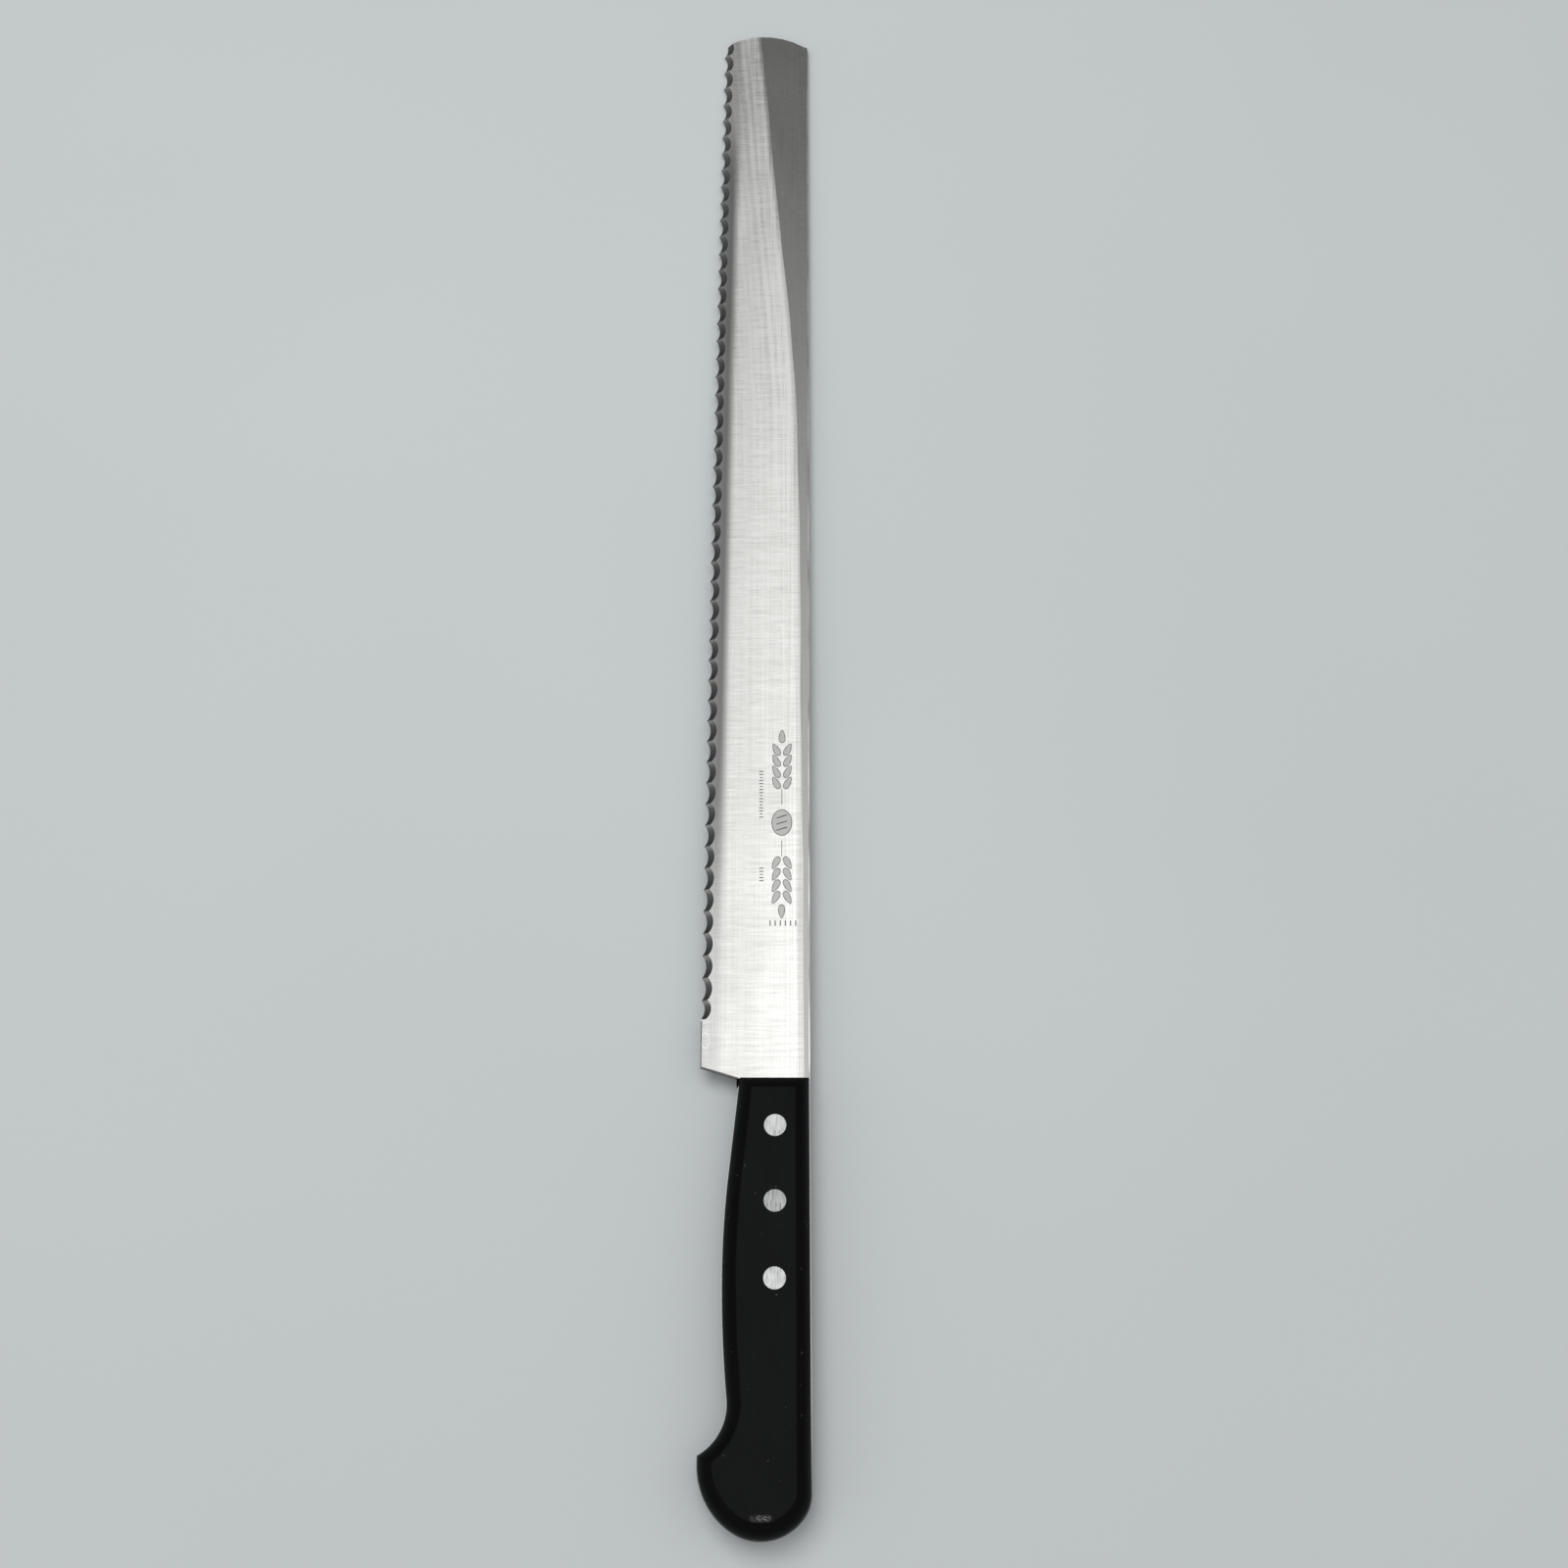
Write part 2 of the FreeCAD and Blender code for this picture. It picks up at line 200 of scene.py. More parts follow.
class Nodes:
    """Short ways to add nodes to a tree. A value is a number, a colour or another node's output."""

    def __init__(self, tree):
        self.tree = tree
        tree.nodes.clear()

    def put(self, socket, value):
        if isinstance(value, bpy.types.NodeSocket):
            self.tree.links.new(value, socket)
        else:
            socket.default_value = value

    def node(self, kind, **inputs):
        made = self.tree.nodes.new("ShaderNode" + kind)
        for name, value in inputs.items():
            self.put(made.inputs[name], value)
        return made

    def parts(self, vector):
        return self.node("SeparateXYZ", Vector=vector).outputs

    def noise(self, vector, scale, detail, rough, offset=0.0):
        """Noise on a vector that is stretched by a scale on each axis and then moved by an offset."""
        place = self.node("VectorMath")
        place.operation = "MULTIPLY_ADD"
        self.put(place.inputs[0], vector)
        place.inputs[1].default_value = (*scale, 1.0)[:3]
        place.inputs[2].default_value = (offset, offset, offset)
        made = self.node("TexNoise", Vector=place.outputs[0], Scale=1.0, Detail=detail, Roughness=rough)
        return made.outputs[0]

    def maths(self, operation, a, b, clamp=False):
        made = self.node("Math")
        made.operation = operation
        made.use_clamp = clamp
        self.put(made.inputs[0], a)
        self.put(made.inputs[1], b)
        return made.outputs[0]

    def add(self, a, b, clamp=False):
        return self.maths("ADD", a, b, clamp)

    def less(self, a, b):
        return self.maths("SUBTRACT", a, b)

    def times(self, a, b):
        return self.maths("MULTIPLY", a, b)

    def gap(self, a, b):
        """How far a is from b, either way."""
        return self.maths("ABSOLUTE", self.less(a, b), 0.0)

    def ramp(self, value, low, high, to_low=0.0, to_high=1.0, smooth=True):
        """Goes from to_low to to_high while the value goes from low to high, and stays there beyond them."""
        made = self.node("MapRange", Value=value)
        made.interpolation_type = "SMOOTHSTEP" if smooth else "LINEAR"
        for name, number in zip(("From Min", "From Max", "To Min", "To Max"), (low, high, to_low, to_high)):
            self.put(made.inputs[name], number)
        return made.outputs[0]

    def fade(self, value, start, end):
        """1 up to the start and 0 from the end on."""
        return self.ramp(value, start, end, 1.0, 0.0)

    def spread(self, noise, low=0.0, high=1.0, smooth=True):
        """A noise brought to a range."""
        return self.ramp(noise, NOISE_LOW, NOISE_HIGH, low, high, smooth)

    def swing(self, noise, reach):
        """A noise brought to the range from minus to plus the reach."""
        return self.spread(noise, -reach, reach, False)

    def blend(self, share, a, b):
        """From colour a, at a share of 0, to colour b, at 1."""
        made = self.node("Mix")
        made.data_type = "RGBA"
        self.put(made.inputs[0], share)
        for socket, colour in ((made.inputs[6], a), (made.inputs[7], b)):
            self.put(socket, colour if isinstance(colour, bpy.types.NodeSocket) else (*colour, 1.0))
        return made.outputs[2]


class Finish(Nodes):
    """A material, with its Principled shader."""

    def __init__(self, name, colour, metallic, roughness):
        self.material = bpy.data.materials.new(name)
        self.material.use_nodes = True
        super().__init__(self.material.node_tree)
        self.shader = self.node("BsdfPrincipled")
        self.node("OutputMaterial", Surface=self.shader.outputs[0])
        self.set("Base Color", (*colour, 1.0))
        self.set("Metallic", metallic)
        self.set("Roughness", roughness)

    def set(self, socket, value):
        self.put(self.shader.inputs[socket], value)

    def sheet(self, title):
        """The pair of surface coordinates with this title."""
        made = self.node("UVMap")
        made.uv_map = title
        return made.outputs[0]

    def place(self):
        """The place in the frame, in metres."""
        return self.node("TexCoord").outputs["Object"]

    def bump(self, height, depth, strength=1.0):
        """Bump of a depth in millimetres."""
        made = self.node("Bump", Height=height, Strength=strength, Distance=depth * MM)
        self.set("Normal", made.outputs[0])

    def grain(self, anisotropy):
        """Gloss drawn out along the blade by the fine marks across it."""
        made = self.node("Tangent")
        made.direction_type = "UV_MAP"
        made.uv_map = "along"
        self.set("Tangent", made.outputs[0])
        self.set("Anisotropic", anisotropy)


def ground_steel():
    """The wide taper grind: fine marks straight across, and streaks along it near the line of the grind.

    Lengths are in millimetres from the front of the handle.
    """
    mat = Finish("steel_ground", GROUND_TONE, 1.0, 0.3)
    along, lines = mat.sheet("along"), mat.sheet("lines")
    length, on_sheet, _ = mat.parts(along)
    from_grind, from_teeth, _ = mat.parts(lines)
    across = mat.maths("MODULO", on_sheet, BACK_OFFSET)
    fine = mat.noise(along, (3.4, 0.16), 3.0, 0.65)
    bands = mat.noise(along, (0.9, 0.05), 4.0, 0.65, 7.0)
    weave = mat.noise(along, (0.22, 2.6), 2.0, 0.6, 13.0)
    streaks = mat.noise(lines, (1.7, 0.0), 3.0, 0.7, 3.0)
    broad = mat.noise(lines, (0.42, 0.0), 1.0, 0.5, 21.0)
    drift = mat.noise(along, (0.012, 1.5), 2.0, 0.5, 11.0)
    cloud = mat.noise(along, (0.03, 0.08), 2.0, 0.5, 5.0)

    # The steel itself, and painted reflection along it: lighter towards the middle, duller at the tip.
    marks = mat.add(mat.add(mat.swing(fine, 0.36), mat.swing(bands, 0.24)), mat.swing(weave, 0.07))
    painted_sheen_to_middle = mat.ramp(length, 60.0, 230.0, -0.02, 0.26)
    level = mat.add(mat.ramp(length, 285.0, 345.0, 0.60, 0.28), painted_sheen_to_middle)
    near_line = mat.ramp(from_grind, 0.0, 7.0, 1.0, 0.3)
    lengthwise = mat.times(mat.less(mat.add(streaks, drift), 1.0), near_line)
    wide = mat.times(mat.ramp(broad, 0.35, 0.65, -0.30, 0.30), mat.ramp(length, 150.0, 260.0))
    tone = mat.add(mat.add(marks, level), mat.add(mat.times(lengthwise, 2.0), wide), True)

    # The dark first line of the grind, and painted shade in the band behind the teeth, where the face turns
    # down to the bevel.
    first_line = mat.fade(mat.add(from_grind, mat.times(drift, 1.8)), 0.6, 2.8)
    first_line = mat.times(first_line, mat.ramp(length, 270.0, 335.0, 0.45, 0.85))
    middle = mat.times(mat.ramp(length, 15.0, 110.0, 0.25, 1.0), mat.ramp(length, 290.0, 345.0, 1.0, 0.3))
    shoulder_painted_shade = mat.times(mat.fade(from_teeth, 3.2, 7.4), middle)
    shoulder = mat.add(shoulder_painted_shade, mat.ramp(from_teeth, 5.0, 20.0, 0.12, 0.0))

    # The oval at the heel.
    middle_x, middle_y, half_x, half_y = HEEL_STAMP
    off_y = mat.maths("DIVIDE", mat.less(length, middle_y), half_y)
    off_x = mat.maths("DIVIDE", mat.less(on_sheet, middle_x), half_x)
    oval = mat.add(mat.times(off_x, off_x), mat.times(off_y, off_y))
    ring = mat.ramp(mat.gap(oval, 1.0), 0.05, 0.32, 0.4, 0.0)

    # Painted shade: a dark line along the heel's sloping edge and along the plain edge before the teeth,
    # standing for the dark side faces and the shadow under the blade.
    slope = HEEL_LEAD / (BLADE_HEIGHT - TANG_CORNER)
    from_heel = mat.less(length, mat.times(mat.less(across, TANG_CORNER), slope))
    past_tang = mat.ramp(across, TANG_CORNER - 0.4, TANG_CORNER + 0.4)
    heel_edge_shade = mat.times(mat.fade(from_heel, 0.30, 0.62), past_tang)
    before_teeth = mat.fade(length, PLAIN_HEEL - 0.6, PLAIN_HEEL - 0.3)
    plain_edge_shade = mat.times(mat.fade(from_teeth, 0.18, 0.42), before_teeth)
    edge_line_shade = mat.times(mat.maths("MAXIMUM", heel_edge_shade, plain_edge_shade), 0.85)

    plain = mat.blend(tone, GROUND_DARK, GROUND_LIGHT)
    shaded = mat.blend(mat.add(first_line, shoulder, True), plain, SHOULDER_SHADE_TONE)
    stamped = mat.blend(ring, shaded, GROUND_LIGHT)
    mat.set("Base Color", mat.blend(edge_line_shade, stamped, PAINTED_SHADE_TONE))
    mat.set("Roughness", mat.add(mat.spread(cloud, 0.27, 0.33), mat.swing(fine, 0.03)))
    relief = mat.add(mat.times(fine, 0.004), mat.times(streaks, 0.002))
    turn = mat.times(mat.ramp(from_teeth, 2.2, 6.4, 0.0, SHOULDER_RELIEF), middle)
    mat.bump(mat.add(relief, turn), 1.0)
    mat.grain(0.72)
    return mat.material


def strip_steel():
    """The blank's own face, left flat and smoother along the spine and on the tang."""
    mat = Finish("steel_flat", STRIP_TONE, 1.0, 0.24)
    along = mat.sheet("along")
    fine = mat.noise(along, (3.0, 0.3), 3.0, 0.6, 2.0)
    drawn = mat.noise(along, (0.03, 2.4), 3.0, 0.6, 4.0)
    cloud = mat.noise(along, (0.03, 0.1), 2.0, 0.5, 9.0)
    lengthwise = mat.ramp(drawn, 0.25, 0.75, 0.0, 0.55, False)
    crosswise = mat.ramp(fine, 0.25, 0.75, 0.0, 0.45, False)
    plain = mat.blend(mat.add(lengthwise, crosswise), STRIP_DARK, STRIP_LIGHT)
    # painted shade: the tang's rim darkens towards the butt, where it lies in shadow
    painted_butt_shade = mat.ramp(mat.parts(along)[0], -118.0, -80.0, 0.9, 0.0)
    mat.set("Base Color", mat.blend(painted_butt_shade, plain, PAINTED_SHADE_TONE))
    mat.set("Roughness", mat.add(mat.spread(cloud, 0.22, 0.25), mat.swing(fine, 0.02)))
    mat.bump(mat.add(mat.times(fine, 0.0012), mat.times(drawn, 0.0012)), 1.0)
    mat.grain(0.3)
    return mat.material


def corner_steel():
    """The polished corner along the spine, lightened as a painted highlight line, uneven with wear."""
    mat = Finish("steel_corner", CORNER_HIGHLIGHT_TONE, 1.0, 0.3)
    wear_and_highlight = mat.noise(mat.sheet("along"), (0.05, 0.5), 2.0, 0.5, 17.0)
    mat.set("Base Color", mat.blend(mat.ramp(wear_and_highlight, 0.35, 0.65), STRIP_LIGHT, CORNER_HIGHLIGHT_TONE))
    mat.set("Roughness", mat.spread(wear_and_highlight, 0.36, 0.26))
    mat.bump(wear_and_highlight, 0.01)
    return mat.material


def marked_steel(name, colours, roughness, scale, rough_range, depth):
    """Steel with one kind of fine mark all over: the sawn sides of the blank, painted dark as shade, and the
    etching.
    """
    mat = Finish(name, colours[0], 1.0, roughness)
    fine = mat.noise(mat.place(), scale, 3.0, 0.6)
    mat.set("Base Color", mat.blend(mat.spread(fine), *colours[1:]))
    mat.set("Roughness", mat.spread(fine, *rough_range))
    mat.bump(fine, depth)
    return mat.material


def side_steel():
    # The sawn sides of the blank, painted very dark as shade along the blade's thickness.
    colours = (SIDE_SHADE_TONE, SIDE_SHADE_DARK, SIDE_SHADE_LIGHT)
    return marked_steel("steel_side", colours, 0.38, (500, 500, 5000), (0.32, 0.44), 0.004)


def etched_steel(title, dark, light):
    colours = (dark, dark, light)
    return marked_steel("steel_etched_" + title, colours, 0.5, (6000, 9000, 3000), (0.45, 0.58), 0.002)


def bevel_steel():
    """The scallops' bevel, from a grinding wheel shaped to the teeth: marks run along the edge."""
    mat = Finish("steel_bevel", BEVEL_TONE, 1.0, 0.27)
    along = mat.sheet("along")
    fine = mat.noise(mat.sheet("lines"), (0.4, 9.0), 3.0, 0.6)
    cloud = mat.noise(along, (0.5, 0.9), 2.0, 0.5, 6.0)
    # painted reflection: the bevel lighter towards the tip
    painted_sheen_to_tip = mat.ramp(mat.parts(along)[0], 250.0, 330.0, 0.0, 0.5)
    mat.set("Base Color", mat.blend(mat.add(mat.spread(fine, 0.0, 0.5), painted_sheen_to_tip), BEVEL_DARK, BEVEL_LIGHT))
    mat.set("Roughness", mat.spread(cloud, 0.16, 0.26))
    mat.bump(fine, 0.004, 0.5)
    return mat.material


def black_plastic():
    """Moulded and sanded black plastic: faint lines along the handle, a few specks, a scuff at the butt, and
    painted shade on the rounded edges.
    """
    mat = Finish("plastic_black", PLASTIC_TONE, 0.0, 0.42)
    place = mat.place()
    x, y, z = mat.parts(place)
    lines = mat.noise(place, (2600, 45, 1500), 3.0, 0.6)
    grain = mat.noise(place, (1500, 1100, 1500), 2.0, 0.5, 3.0)
    cloud = mat.noise(place, (90, 35, 90), 3.0, 0.55, 8.0)
    specks = mat.ramp(mat.noise(place, (900, 620, 900), 1.0, 0.4, 1.0), 0.775, 0.80)
    broken = mat.ramp(mat.noise(place, (1500, 2600, 900), 4.0, 0.75, 9.0), 0.40, 0.66)

    def within(value, middle, fades):
        return mat.fade(mat.gap(value, middle), fades[0] * MM, fades[1] * MM)

    near_y = within(y, FRONT_Y - BUTT_SCUFF[1] * MM, SCUFF_ALONG)
    near_x = within(x, SPINE_X - BUTT_SCUFF[0] * MM, SCUFF_ACROSS)
    above = mat.ramp(z, *(MIDDLE_Z + height * MM for height in SCUFF_HEIGHT))
    scuff = mat.times(mat.times(near_y, near_x), mat.times(above, broken))
    marks = mat.maths("MAXIMUM", mat.times(specks, 0.2), mat.times(scuff, 0.8))
    sanded = mat.ramp(mat.gap(z, MIDDLE_Z), *(height * MM for height in SANDED_FROM))
    shade = mat.add(mat.spread(cloud, 0.0, 0.5), mat.spread(lines, 0.0, 0.5, False))
    # painted shade: the rounded edges darker than the flat face
    edge = mat.blend(shade, PLASTIC_EDGE_SHADE_DARK, PLASTIC_EDGE_SHADE_LIGHT)
    plain = mat.blend(sanded, edge, mat.blend(shade, PLASTIC_DARK, PLASTIC_LIGHT))
    mat.set("Base Color", mat.blend(marks, plain, SCUFF_TONE))
    rough = mat.add(mat.spread(cloud, 0.40, 0.48), mat.swing(lines, 0.05))
    rough = mat.add(rough, mat.ramp(sanded, 0.0, 1.0, 0.06, 0.0))
    mat.set("Roughness", mat.add(rough, mat.times(marks, 0.2)))
    mat.set("Specular IOR Level", PLASTIC_GLOSS)
    mat.bump(mat.add(lines, mat.times(grain, 0.6)), 0.02, 0.35)
    return mat.material


def rivet_aluminium():
    """Soft aluminium, sanded flush with the scales along the handle. The middle head is duller."""
    mat = Finish("aluminium_sanded", RIVET_TONE, 1.0, 0.4)
    place = mat.place()
    lines = mat.noise(place, (3400, 110, 400), 3.0, 0.65)
    deep = mat.ramp(mat.noise(place, (2600, 260, 300), 2.0, 0.6, 6.0), 0.56, 0.70)
    cloud = mat.noise(place, (420, 240, 420), 2.0, 0.5, 4.0)
    plain = mat.blend(mat.spread(lines), RIVET_DARK, RIVET_LIGHT)
    from_middle = mat.gap(mat.parts(place)[1], FRONT_Y - RIVETS["middle"] * MM)
    # darker round the middle head
    darker_middle = mat.ramp(from_middle, 0.004, 0.008, 0.42, 0.0)
    mat.set("Base Color", mat.blend(mat.add(deep, darker_middle, True), plain, RIVET_SCRATCH))
    mat.set("Roughness", mat.spread(cloud, 0.34, 0.48))
    mat.bump(lines, 0.01, 0.5)
    return mat.material


# ---- the handle's outline ----
HANDLE_LENGTH = 120.85
FRONT_WIDTH = 19.1
SPINE_INSET = 0.3
SPINE_RISE = 0.4
BELLY_WIDTH = 23.65
BELLY_PLACE = 54.0
BELLY_RADIUS = 260.0
WAIST_WIDTH = 22.0
WAIST_PLACE = 33.55
HOLLOW_RADIUS = 14.7
BUTT_RADII = (9.6, 13.8, 19.5)
BUTT_TURNS = (33.4, 121.8)
EDGE_ROUND = 6.5
WALL_TOP = 2.0
TANG_PROUD = 0.22
NIB_REACH = 0.9
NIB_LENGTH = 1.9
NIB_HEIGHT = 0.8
OUTLINE_STEP = 0.7  # spacing of the points round the corners of the outline
LONG_STEP = 1.5  # and along its straight and nearly straight sides
CORNER_GAP = 0.25  # least distance from a corner's last foot to the next point
RIVET_FIRST = 14.5
RIVET_SPACING = 20.5
RIVET_FROM_SPINE = 9.6
HEAD_DIAMETER = 6.1
HEAD_HEIGHT = 2.5
TUBE_DIAMETER = 4.0
PIN_DIAMETER = 3.0
HEAD_CLEARANCE = 0.02
TUBE_CLEARANCE = 0.1
PIN_END_GAP = 0.6
TUBE_END_GAP = 0.3
RIVETS = {name: RIVET_FIRST + i * RIVET_SPACING for i, name in enumerate(("front", "middle", "rear"))}
SEAT = HALF_HANDLE - HEAD_HEIGHT
CREASE_INSET = EDGE_ROUND - math.sqrt(EDGE_ROUND ** 2 - (HALF_HANDLE - WALL_TOP) ** 2)
plastic_material = black_plastic()
rivet_material = rivet_aluminium()


def on_circle(centre, radius, turn):
    return centre + Vector((math.cos(math.radians(turn)), -math.sin(math.radians(turn)))) * radius


def touch_point(point, centre, radius, side):
    away = point - centre
    angle = math.atan2(away.y, away.x) + side * math.acos(radius / away.length)
    return centre + Vector((math.cos(angle), math.sin(angle))) * radius


def along_line(a, b):
    """Points on a straight side, each with the direction into the handle, which is on the right hand."""
    count = max(1, round((b - a).length / LONG_STEP))
    d = (b - a).normalized()
    return [(a + (b - a) * (i / count), Vector((d.y, -d.x))) for i in range(count + 1)]


def along_arc(centre, a, b, hollow=False, step=OUTLINE_STEP):
    """Points on an arc, the short way round, each with the direction into the handle."""
    start, end = a - centre, b - centre
    sweep = start.angle_signed(end)
    count = max(2, round(abs(sweep) * start.length / step))
    made = []
    for i in range(count + 1):
        spoke = Vector(start)
        spoke.rotate(Matrix.Rotation(-sweep * i / count, 2))
        made.append((centre + spoke, spoke.normalized() * (1 if hollow else -1)))
    return made


spine_front = Vector((-SPINE_INSET, 0))
grip_front = Vector((-SPINE_INSET - FRONT_WIDTH, 0))
hollow_centre = Vector((-WAIST_WIDTH - HOLLOW_RADIUS, WAIST_PLACE - HANDLE_LENGTH))


def butt_chain():
    """From the front along the spine side and round the butt to the back of the beak."""
    small, middle, large = BUTT_RADII
    step_in = (middle - small) * math.cos(math.radians(BUTT_TURNS[0]))
    middle_centre = Vector((SPINE_RISE - SPINE_INSET - small - step_in, middle - HANDLE_LENGTH))
    small_centre = on_circle(middle_centre, middle - small, BUTT_TURNS[0])
    large_centre = on_circle(middle_centre, middle - large, BUTT_TURNS[1])
    spine_end = touch_point(spine_front, small_centre, small, -1)
    first = on_circle(small_centre, small, BUTT_TURNS[0])
    second = on_circle(middle_centre, middle, BUTT_TURNS[1])
    back = on_circle(large_centre, large, 180)
    chain = along_line(spine_front, spine_end)
    chain += along_arc(small_centre, spine_end, first)[1:]
    chain += along_arc(middle_centre, first, second)[1:]
    chain += along_arc(large_centre, second, back)[1:]
    return chain


def grip_chain(start):
    """From the beak along the finger hollow and the belly to the front."""
    bulge = BELLY_WIDTH - WAIST_WIDTH
    ahead = -BELLY_PLACE - hollow_centre.y
    rear = ((HOLLOW_RADIUS - bulge) ** 2 + ahead ** 2 - HOLLOW_RADIUS ** 2) / (2 * bulge)
    rear_centre = Vector((rear - BELLY_WIDTH, -BELLY_PLACE))
    fore_centre = Vector((BELLY_RADIUS - BELLY_WIDTH, -BELLY_PLACE))
    belly = Vector((-BELLY_WIDTH, -BELLY_PLACE))
    hollow_end = hollow_centre + (rear_centre - hollow_centre).normalized() * HOLLOW_RADIUS
    grip_start = touch_point(grip_front, fore_centre, BELLY_RADIUS, 1)
    chain = along_arc(hollow_centre, start, hollow_end, True)
    chain += along_arc(rear_centre, hollow_end, belly, step=LONG_STEP)[1:]
    chain += along_arc(fore_centre, belly, grip_start, step=LONG_STEP)[1:]
    chain += along_line(grip_start, grip_front)[1:]
    return chain


BEAK_BACK = butt_chain()[-1][0]


def beak_mitre(inset):
    """Point on the beak's mitre at a distance from both its sides, and the two feet."""
    x = BEAK_BACK.x + inset
    y = hollow_centre.y - math.sqrt((HOLLOW_RADIUS + inset) ** 2 - (x - hollow_centre.x) ** 2)
    point = Vector((x, y))
    spoke = (point - hollow_centre).normalized()
    back_foot = Vector((BEAK_BACK.x, max(y, BEAK_BACK.y)))
    return point, (back_foot, Vector((1, 0))), (hollow_centre + spoke * HOLLOW_RADIUS, spoke)


def straight_mitre(corner, into_a, into_b, inset):
    point = corner + (into_a + into_b) * (inset / (1 + into_a.dot(into_b)))
    return point, (point - into_a * inset, into_a), (point - into_b * inset, into_b)


def handle_stations(insets):
    """The outline as stations (foot, direction in, inset where it stops, point where it stops).

    At a corner the two rounded sides meet in a mitre. For every inset there is a station on each side whose
    way in ends on the mitre at that inset, so the rings of the two sides share their points there.
    """
    beak = beak_mitre(0)[0]
    butt, grip = butt_chain(), grip_chain(beak)
    front = along_line(grip_front, spine_front)
    into_front = front[0][1]
    corners = {
        "beak": beak_mitre,
        "grip": lambda inset: straight_mitre(grip_front, grip[-1][1], into_front, inset),
        "spine": lambda inset: straight_mitre(spine_front, into_front, butt[0][1], inset),
    }
    stops = sorted(set(insets) | {0.0})
    mitres = {name: [(inset, *find(inset)) for inset in stops] for name, find in corners.items()}

    def trimmed(chain, start, end):
        """The chain's own points between the last feet of the corners at its two ends."""
        limits = []
        for name, foot in ((start, mitres[start][-1][3][0]), (end, mitres[end][-1][2][0])):
            tip = corners[name](0)[0]
            limits.append((tip, (foot - tip).length + CORNER_GAP))
        return [
            (foot, inward, math.inf, None) for foot, inward in chain
            if all((foot - tip).length >= reach for tip, reach in limits)
        ]

    def corner(name):
        ends = mitres[name]
        before = [(a[0], a[1], inset, point) for inset, point, a, b in reversed(ends)]
        after = [(b[0], b[1], inset, point) for inset, point, a, b in ends[1:]]
        return before + after

    return (trimmed(butt, "spine", "beak") + corner("beak") + trimmed(grip, "beak", "grip") + corner("grip")
            + trimmed(front, "grip", "spine") + corner("spine"))


def ring_of(shape, centre, radius, z, count=40):
    return [
        shape.point(centre[0] + radius * math.cos(a), centre[1] + radius * math.sin(a), z)
        for a in (2 * math.pi * i / count for i in range(count))
    ]


# ---- the blade ----
GROUND, STRIP, BEVEL_FACE, SIDE, CORNER = range(5)      # the finishes, in the order of blade_materials
EDGE_SWEEP = 2.6
HALF_EDGE = 0.5
TIP_RADIUS = 24.0
TIP_APEX = 14.8
TIP_CORNER = 1.2
HEEL_LEAD = 3.3
SPINE_CHAMFER = 0.34  # width of the polished corner along the spine
SPINE_CHAMFER_DROP = 0.12
TOOTH_PITCH = 6.592
SCALLOP_DEPTH = 1.15
BEVEL = math.radians(30)
TIP_LEAD = 7.6
PLAIN_HEEL = 17.2
RUN_OUT = 0.4
SHOULDER = 3.4  # width of the slight extra slope behind the bevel
SHOULDER_DROP = 0.12
STEPS_PER_TOOTH = 18
RUN_OUT_STEPS = 8  # in the short last scallop, next to the plain edge
PLAIN_START = 6.0  # up to here the rows turn from the heel's slope to straight across
HEEL_ROWS = 6
PLAIN_ROWS = 8
TIP_ROWS = 16
PLAIN_BEVEL = 1.4  # width of the bevel's columns where there is no bevel
CHAMFER_START = 1.5  # the spine's polished corner grows to its full width over this length
TANG_CORNER = SPINE_INSET + FRONT_WIDTH + TANG_PROUD
blade_materials = [ground_steel(), strip_steel(), bevel_steel(), side_steel(), corner_steel()]


def edge_height(y):
    return BLADE_HEIGHT - EDGE_SWEEP * (y / BLADE_LENGTH) ** 2


def tip_end(x):
    """Where the rounded tip ends, with the small round where it meets the spine."""
    if x > -TIP_CORNER:
        base = tip_end(-TIP_CORNER) - TIP_CORNER
        return base + math.sqrt(max(TIP_CORNER ** 2 - (x + TIP_CORNER) ** 2, 0))
    return BLADE_LENGTH - TIP_RADIUS + math.sqrt(TIP_RADIUS ** 2 - (x + TIP_APEX) ** 2)


def heel_line(x):
    """Where the sloping edge of the heel is, at a place across the blade."""
    return HEEL_LEAD * max(0.0, -x - TANG_CORNER) / (BLADE_HEIGHT - TANG_CORNER)


def grind_start(y):
    """Spine to the line where the taper grind starts: nearly straight, then widening towards the tip."""
    widening = 0.080 * (y - 216.0)
    soft = 0.5 * (widening + math.sqrt(widening ** 2 + 1.6))
    ripple = 0.16 * math.sin(y / 15.0 + 0.6) + 0.07 * math.sin(y / 6.1 + 1.0)
    return 1.52 + 0.0075 * y + soft + ripple * min(1.0, max(y, 0) / 120)


def tooth_points():
    first = BLADE_LENGTH - TIP_LEAD
    count = int((first - PLAIN_HEEL) / TOOTH_PITCH)
    return [first - TOOTH_PITCH * i for i in range(-1, count + 1)] + [PLAIN_HEEL]


TEETH = tooth_points()


def edge_line(y):
    """x of the cutting edge: the plain line, or the scallops' arcs between tooth points."""
    plain = -edge_height(y)
    if y < PLAIN_HEEL:
        return plain
    for far, near in zip(TEETH, TEETH[1:]):
        if near <= y <= far:
            half = (far - near) / 2
            radius = (SCALLOP_DEPTH ** 2 + half ** 2) / (2 * SCALLOP_DEPTH)
            depth = math.sqrt(max(radius ** 2 - (y - near - half) ** 2, 0)) - (radius - SCALLOP_DEPTH)
            out = RUN_OUT * (far - y) / (far - near) if near == PLAIN_HEEL else 0.0
            return plain + depth - out
    return plain


